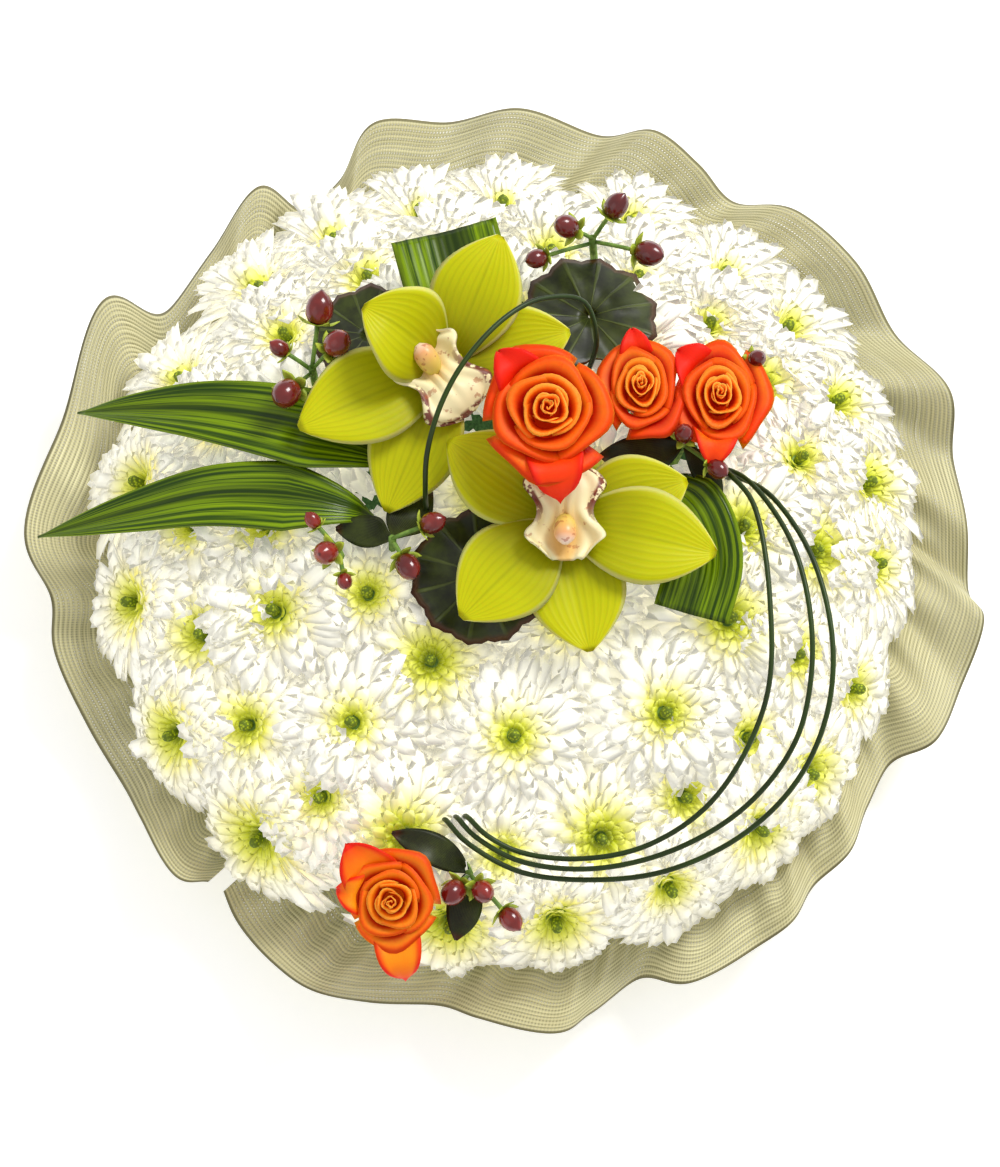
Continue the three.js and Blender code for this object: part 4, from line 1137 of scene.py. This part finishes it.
# %% Sprig data
# Where the stem enters the foam, where it forks, each berry's middle and length, and for a leaf
# the rest of its line and its width. shade is how dark the berries are
SPRIGS = [
    {"foam": (35, 110), "fork": (33, 111, 97), "shade": 0.6,
     "berries": [(23, 111, 110, 11), (42, 120, 108, 11), (54, 101, 108, 12), (12, 100, 105, 9)]},
    {"foam": (-69, 59), "fork": (-70, 60, 99), "shade": 0.2,
     "berries": [(-67, 80, 108, 13), (-60, 65, 113, 12), (-82, 66, 104, 8), (-79, 47, 108, 13)]},
    {"foam": (-57, -8), "fork": (-60, -8, 96), "shade": 0.0,
     "berries": [(-69, 1, 103, 7), (-64, -12, 105, 11), (-57, -22, 102, 7)]},
    {"foam": (-41, -5), "fork": (-40, -6, 103), "shade": 0.4,
     "berries": [(-25, -2, 110, 10), (-34, -18, 107, 11)],
     "leaves": [([(-49, -1, 93), (-61, 1, 90)], 13), ([(-34, 5, 93), (-26, 15, 91)], 16)]},
    {"foam": (63, 33), "fork": (66, 31, 99), "shade": 0.5,
     "berries": [(65.5, 31.5, 110, 9), (78, 19, 106, 9)],
     "leaves": [([(52, 27, 97), (35, 27, 96)], 16), ([(61, 38, 94), (60, 50, 92)], 12),
                ([(72, 24, 95), (80, 12, 92)], 10)]},
    {"foam": (86, 66), "fork": (88, 64, 95), "shade": 0.4, "berries": [(93, 62, 104, 8)]},
    {"foam": (-17, -110), "fork": (-12, -124, 75), "shade": 0.1,
     "berries": [(-18, -132, 82, 11), (-7, -132, 84, 10), (3, -141, 78, 10)],
     "leaves": [([(-25, -116, 82), (-40, -110, 82)], 12), ([(-14, -136, 73), (-17, -147, 70)], 13)]},
]


# %% Sprig finishes
def paint_berry(grain, place):
    along, _, shade = grain.parts()
    mottle = noise(place, 120.0)
    fresh = mottle.step(0.3, 0.8).blend((104, 14, 10), (164, 46, 34))
    colour = shade.blend(fresh, (62, 8, 12))
    colour = (along.step(0.9, 1.0) * 0.7).blend(colour, (40, 12, 10))
    return {"Base Color": colour}


def paint_sepal(grain, place):
    along, _, _ = grain.parts()
    return {"Base Color": along.ramp([(0.0, (120, 146, 20)), (1.0, (186, 200, 60))])}


def paint_dark_leaf(grain, place):
    out, turn, _ = grain.parts()
    wave = (turn * (2 * math.pi * 11)).cos() * 0.5 + 0.5
    veins = wave.step(0.93, 1.0) * (1 - out.step(0.8, 1.0))
    mottle = noise(place, 70.0, 4.0)
    body = mottle.step(0.35, 0.7).blend((22, 26, 2), (58, 68, 12))
    colour = (veins * 0.5).blend(body, (92, 104, 40))
    colour = (out.step(0.86, 0.98) * 0.65).blend(colour, (92, 44, 20))
    return {"Base Color": colour, "Bump": (0.5, veins + mottle * 0.6, 0.0006)}


berry_material = material("berries", paint_berry, 0.22, Coat_Weight=0.4)
sepal_material = material("berry sepals", paint_sepal, 0.55)
dark_material = material("dark leaves", paint_dark_leaf, 0.38, Specular_IOR_Level=0.35)


# %% Sprigs
BERRY_PROFILE = [(-0.47, 0.3), (-0.4, 0.72), (-0.22, 0.97), (0.0, 1.0), (0.2, 0.88), (0.36, 0.6),
                 (0.44, 0.3), (0.53, 0.06)]
BERRY_RADIUS = 0.4              # as a share of its length
BERRY_STALK = 0.85
SPRIG_STEM = 1.5
SEPAL_THICKNESS = 0.45
LEAF_THICKNESS = 0.7


def add_berry(build, start, berry, shade):
    x, y, z, length = berry
    middle = np.array([x, y, z], float)
    way = middle - start
    way[2] = max(4, way[2])
    way = unit(way)
    build.tube([middle + way * at * length for at, _ in BERRY_PROFILE],
               [length * BERRY_RADIUS * radius for _, radius in BERRY_PROFILE], 12, 0, shade)
    across = unit(np.cross(way, [0.3, 0.9, 0.1]))
    over = np.cross(way, across)
    for k in range(5):
        angle = math.radians(72 * k + 10)
        aim = across * math.cos(angle) + over * math.sin(angle)
        root = middle - way * 0.47 * length
        line = [root, root + aim * 0.34 * length + way * 0.02 * length,
                root + aim * 0.62 * length + way * 0.16 * length]
        wide = 0.18 * length
        build.sheet(petal_grid(line, lambda u: wide * math.sin(math.pi * (0.15 + 0.83 * u)),
                               lambda u: 0.3, 6, 5, side=np.cross(way, aim)), SEPAL_THICKNESS, 1)
    foot = middle - way * 0.45 * length
    build.tube(even([start, (start + foot) / 2 + UP * 0.6, foot], 5), BERRY_STALK, 6, 2)


def add_leaf(build, line, width):
    grid = petal_grid(line, lambda u: max(0.5, width / 2 * math.sin(math.pi * u) ** 0.8),
                      lambda u: 1.0, 16, 9, wave=lambda u, v: 0.5 * math.sin(9 * u) * v)
    build.sheet(grid, LEAF_THICKNESS, 3)


for index, sprig in enumerate(SPRIGS, 1):
    build = Build()
    tip = np.array(sprig["fork"], float)
    down = unit(np.array([*sprig["foam"], FOAM_TOP + KNEE], float) - tip)
    add_stem(build, tip, sprig["foam"], SPRIG_STEM, 2)
    for order, berry in enumerate(sprig["berries"]):
        add_berry(build, tip + down * (0.5 + order * 1.5), berry, sprig["shade"])
    for line, width in sprig.get("leaves", []):
        add_leaf(build, [tip + down * 2, *line], width)
    name = f"berry_sprig_{index}"
    inks = [berry_material, sepal_material, green_material, dark_material]
    piece(name + "_berries", name, build.mesh(name, inks))
print("sprigs", len(SPRIGS))

# %% [markdown]
# ## Leaves
# Four strap-like leaves lie out from under the orchids: two whole ones to the left with long
# points, folded along the middle, and two that the florist cut short. Three round toothed
# leaves lie on the flowers. All of them are single sheets along a line or about a middle.


# %% Strap leaf finish
def paint_strap(grain, place):
    _, over, banded = grain.parts()
    width = over.absolute()
    lines = (over * 42.0).sin() * 0.5 + 0.5
    streak = noise(grain * (1.0, 4.5, 1.0), 2.0, 3.0)
    body = streak.step(0.38, 0.66).blend((34, 62, 0), (134, 164, 0))
    colour = (lines * 0.2).blend(body, (66, 98, 0))
    # Painted shade: a dark band along the fold near the middle of the leaf.
    colour = ((1 - (over - 0.12).absolute().step(0.05, 0.34)) * 0.6).blend(colour, (26, 48, 0))
    colour = (width.step(0.9, 1.0) * 0.4).blend(colour, (150, 176, 50))
    band = banded * (over - 0.1).absolute().step(0.28, 0.4)
    colour = (banded * 0.8 * (1 - band)).blend(colour, (34, 52, 0))
    return {"Base Color": colour, "Bump": (0.3, lines, 0.0003)}


strap_material = material("strap leaves", paint_strap, 0.28, Specular_IOR_Level=0.25)

# %% Long leaves
LONG_LEAVES = {
    "strap_leaf_1": {"foam": (-38, 27), "width": 32, "fold": 0.25, "cut": False, "line": [
        (-38, 27, 80), (-46, 29, 92), (-70, 36, 97), (-105, 45, 90), (-135, 51, 75), (-160, 55, 59)]},
    "strap_leaf_2": {"foam": (-46, 7), "width": 28, "fold": 0.25, "cut": False, "line": [
        (-46, 7, 78), (-54, 8, 90), (-75, 11, 94), (-105, 13, 90), (-135, 11, 77), (-160, 9, 63),
        (-174, 8, 54)]},
    "cut_leaf_top": {"foam": (-10, 72), "width": 40, "fold": 0.1, "cut": True, "line": [
        (-10, 72, 82), (-13, 80, 95), (-17, 94, 98), (-22, 113, 98)]},
    "cut_leaf_right": {"foam": (53, 24), "width": 28, "fold": 0.15, "cut": True, "line": [
        (53, 24, 80), (58, 17, 92), (69, 4, 96), (73, -12, 95), (68, -32, 93)]},
}


def long_leaf(foam, line, width, fold, cut):
    """The same outline as the CAD leaf, with fine pleats along it."""
    points = [(*foam, FOAM_TOP - STEM_DEPTH), (*foam, FOAM_TOP + 3), *line]
    dense = curve(points)
    length = np.linalg.norm(np.diff(dense, axis=0), axis=1).sum()
    bare = (line[0][2] + 6 - points[0][2]) / length

    def half_width(u):
        blade = max(0.0, (u - bare) / (1 - bare))
        shape = min(1, blade * 3) ** 0.7 if cut else min(1, blade * 4) ** 0.8 * (1 - blade**2.2)
        return max(0.4 if u > 0.9 else 1.5, width / 2 * shape)

    heading = np.array(points[-1], float) - np.array(points[1], float)
    return petal_grid(points, half_width, lambda u: fold * half_width(u), 46, 15,
                      side=np.cross(heading, UP), folded=True,
                      wave=lambda u, v: 0.25 * math.cos(math.pi * 6 * v) * min(1, half_width(u) / 6))


for name, leaf in LONG_LEAVES.items():
    build = Build()
    grid = long_leaf(**leaf)
    build.sheet(grid, LEAF_THICKNESS, 0, toned(grid, 1 if name == "cut_leaf_top" else 0))
    piece(name + "_blade", name, build.mesh(name, [strap_material]))
print("long leaves", len(LONG_LEAVES))

# %% Round leaves
FLOWER_DEPTH = 12               # how far petals stand above the dome
STALK_SHARE = 0.3               # where the stalk meets the leaf, from its middle to the foam hole
STALK_RADIUS = 1.3
ROUND_THICKNESS = 0.8
ROUND_LEAVES = {
    "round_leaf_top": {"middle": (32, 82.5), "radius": 26, "lift": 8.4, "foam": (34, 66), "teeth": 11},
    "round_leaf_left": {"middle": (-50, 76), "radius": 21, "lift": 8, "foam": (-46, 70), "teeth": 10},
    "round_leaf_bottom": {"middle": (-8, -18), "radius": 26, "lift": 5, "foam": (-6, -14), "teeth": 11},
}


def leaf_height(x, y, lift):
    return dome_height(math.hypot(x, y), FLOWER_DEPTH) + lift + 1.5 * math.sin((x + y) * 0.16)


def round_leaf(middle, radius, lift, foam, teeth):
    """Rings about the middle; the notch at the stalk and the teeth are in their radius."""
    stalk = math.atan2(foam[1] - middle[1], foam[0] - middle[0])
    share = np.array([0.02, 0.2, 0.4, 0.6, 0.78, 0.9, 1.0])
    turn = np.linspace(0, 2 * math.pi, teeth * 6, endpoint=False)
    tooth = 0.965 + 0.035 * np.cos(turn * teeth) + 0.012 * np.cos(turn * teeth * 3)
    notch = 1 - 0.3 * np.exp(-(np.minimum(turn, 2 * math.pi - turn) / 0.28) ** 2)
    reach = radius * share[:, None] * (1 + (tooth * notch - 1) * share[:, None] ** 2)
    x = middle[0] + np.cos(turn + stalk) * reach
    y = middle[1] + np.sin(turn + stalk) * reach
    z = np.vectorize(leaf_height)(x, y, lift) + 0.7 * np.cos(turn * teeth)[None] * share[:, None] ** 2
    grain = np.stack([np.repeat(share[:, None], len(turn), 1),
                      np.repeat(turn[None] / (2 * math.pi), len(share), 0), np.zeros_like(x)], -1)
    return np.stack([x, y, z], axis=-1), grain


for name, leaf in ROUND_LEAVES.items():
    build = Build()
    grid, grain = round_leaf(**leaf)
    build.sheet(grid, ROUND_THICKNESS, 0, grain, ring=True)
    middle, foam = np.array(leaf["middle"], float), np.array(leaf["foam"], float)
    x, y = middle + (foam - middle) * STALK_SHARE
    add_stem(build, [x, y, leaf_height(x, y, leaf["lift"]) - 0.5], leaf["foam"], STALK_RADIUS, 1)
    piece(name + "_blade", name, build.mesh(name, [dark_material, green_material]))
print("round leaves", len(ROUND_LEAVES))

# %% [markdown]
# ## Steel grass
# Thin round blades of steel grass are bent into loops, with both ends pushed into the foam.

# %% Grass
GRASS_RADIUS = 1.0
GRASS_POINTS = 110
GRASS_LOOPS = {
    "grass_loop_small": [
        (30, 57, 92), (34, 66, 115), (29, 76, 127), (14, 74, 136), (1, 65, 142),
        (-13.5, 48, 144), (-22, 33, 140), (-27, 19, 128), (-28, 9, 110), (-28, 8, 90)],
    "grass_loop_1": [
        (77, 28, 86), (82, 18, 104), (90, 4, 113), (95, -33, 117), (93, -69, 113),
        (75, -102, 105), (52, -117, 96), (28, -121, 90), (6, -118, 87),
        (-6, -112, 88), (-13, -104, 82)],
    "grass_loop_2": [
        (80, 25, 86), (90, 14, 105), (103, -10, 115), (109, -36, 118), (109, -62, 116),
        (103, -84, 112), (86, -105, 105), (61, -119, 97), (32, -125, 92), (6, -121.5, 88),
        (-10, -112, 85), (-17, -103, 77)],
    "grass_loop_3": [
        (83.5, 22, 86), (97, 9, 106), (111, -18, 116), (117, -50, 118), (114, -76, 114),
        (103, -98, 108), (84, -115, 100), (58, -126, 93), (32, -128.5, 89), (6, -125, 86),
        (-13, -114, 84), (-21, -104, 77)],
}


def paint_grass(grain, place):
    _, round_it, _ = grain.parts()
    ridges = (round_it * (2 * math.pi * 3)).sin() * 0.5 + 0.5
    patch = noise(place, 30.0)
    body = patch.step(0.35, 0.7).blend((10, 26, 0), (34, 56, 6))
    return {"Base Color": (ridges * 0.3).blend(body, (70, 92, 34))}


grass_material = material("steel grass", paint_grass, 0.4, Specular_IOR_Level=0.3)


def planted(point):
    x, y, _ = point
    return [(x, y, FOAM_TOP - STEM_DEPTH), (x, y, FOAM_TOP + 3)]


for name, line in GRASS_LOOPS.items():
    build = Build()
    whole = [*planted(line[0]), *line, *planted(line[-1])[::-1]]
    build.tube(even(whole, GRASS_POINTS), GRASS_RADIUS, 7)
    piece(name + "_blade", name, build.mesh(name, [grass_material]))
print("grass loops", len(GRASS_LOOPS))

# %% [markdown]
# ## Camera, light and floor
# The picture looks down at 75 degrees above the ground from far away, so the rim is almost a
# circle. A white floor, a white surround and one large soft light from the upper right give
# the bright shadow-poor look of a shop's product picture.


# %% Camera
ELEVATION = math.radians(75)
DISTANCE = 1.5
SENSOR = 36
LENS = 122.4                    # with this sensor and distance a pixel is 0.378 mm wide
TARGET = Vector((0, 0, 0.035))
TARGET_PIXEL = (503, 571)
PICTURE = (1000, 1167)


def look(made, place, way):
    """Puts a camera or a light at a place and turns it to look a way."""
    made.location = place
    made.rotation_mode = "QUATERNION"
    made.rotation_quaternion = way.to_track_quat("-Z", "Y")


camera = put("camera", bpy.data.cameras.new("camera"))
bpy.context.scene.camera = camera
back = Vector((0, -math.cos(ELEVATION), math.sin(ELEVATION)))
look(camera, TARGET + back * DISTANCE, -back)
camera.data.sensor_width = SENSOR
camera.data.lens = LENS
camera.data.shift_x = -(TARGET_PIXEL[0] - PICTURE[0] / 2) / PICTURE[1]
camera.data.shift_y = (TARGET_PIXEL[1] - PICTURE[1] / 2) / PICTURE[1]


# %% Light and floor
def area_light(name, place, size, watts):
    light = bpy.data.lights.new(name, "AREA")
    light.size, light.energy = size, watts
    look(put(name, light), place, -Vector(place))


bpy.context.scene.view_settings.view_transform = "Standard"
area_light("key", (1.0, 1.1, 1.65), 0.8, 36)
area_light("fill", (-1.4, -0.9, 1.4), 1.6, 3)
world = bpy.data.worlds.new("surround")
world.use_nodes = True
for key, value in (("Color", (1, 1, 1, 1)), ("Strength", 0.66)):
    world.node_tree.nodes["Background"].inputs[key].default_value = value
bpy.context.scene.world = world

floor_mesh = bpy.data.meshes.new("floor")
floor_mesh.from_pydata([(-4, -4, 0), (4, -4, 0), (4, 4, 0), (-4, 4, 0)], [], [(0, 1, 2, 3)])
floor_material = bpy.data.materials.new("floor")
floor_material.use_nodes = True
floor_finish = {"Base Color": (0.95, 0.95, 0.95, 1), "Roughness": 0.9,
                "Emission Color": (1, 1, 1, 1), "Emission Strength": 0.38}
for key, value in floor_finish.items():
    floor_material.node_tree.nodes["Principled BSDF"].inputs[key].default_value = value
floor_mesh.materials.append(floor_material)
put("floor", floor_mesh)

# %% [markdown]
# ## Finish
# The finished model should fill the same box as the CAD model, give or take a few millimetres.
# The last cell prints the most triangles in one piece and in all.

# %% Finish
print("most triangles in one piece", max(triangles.values()), "and in all", sum(triangles.values()))
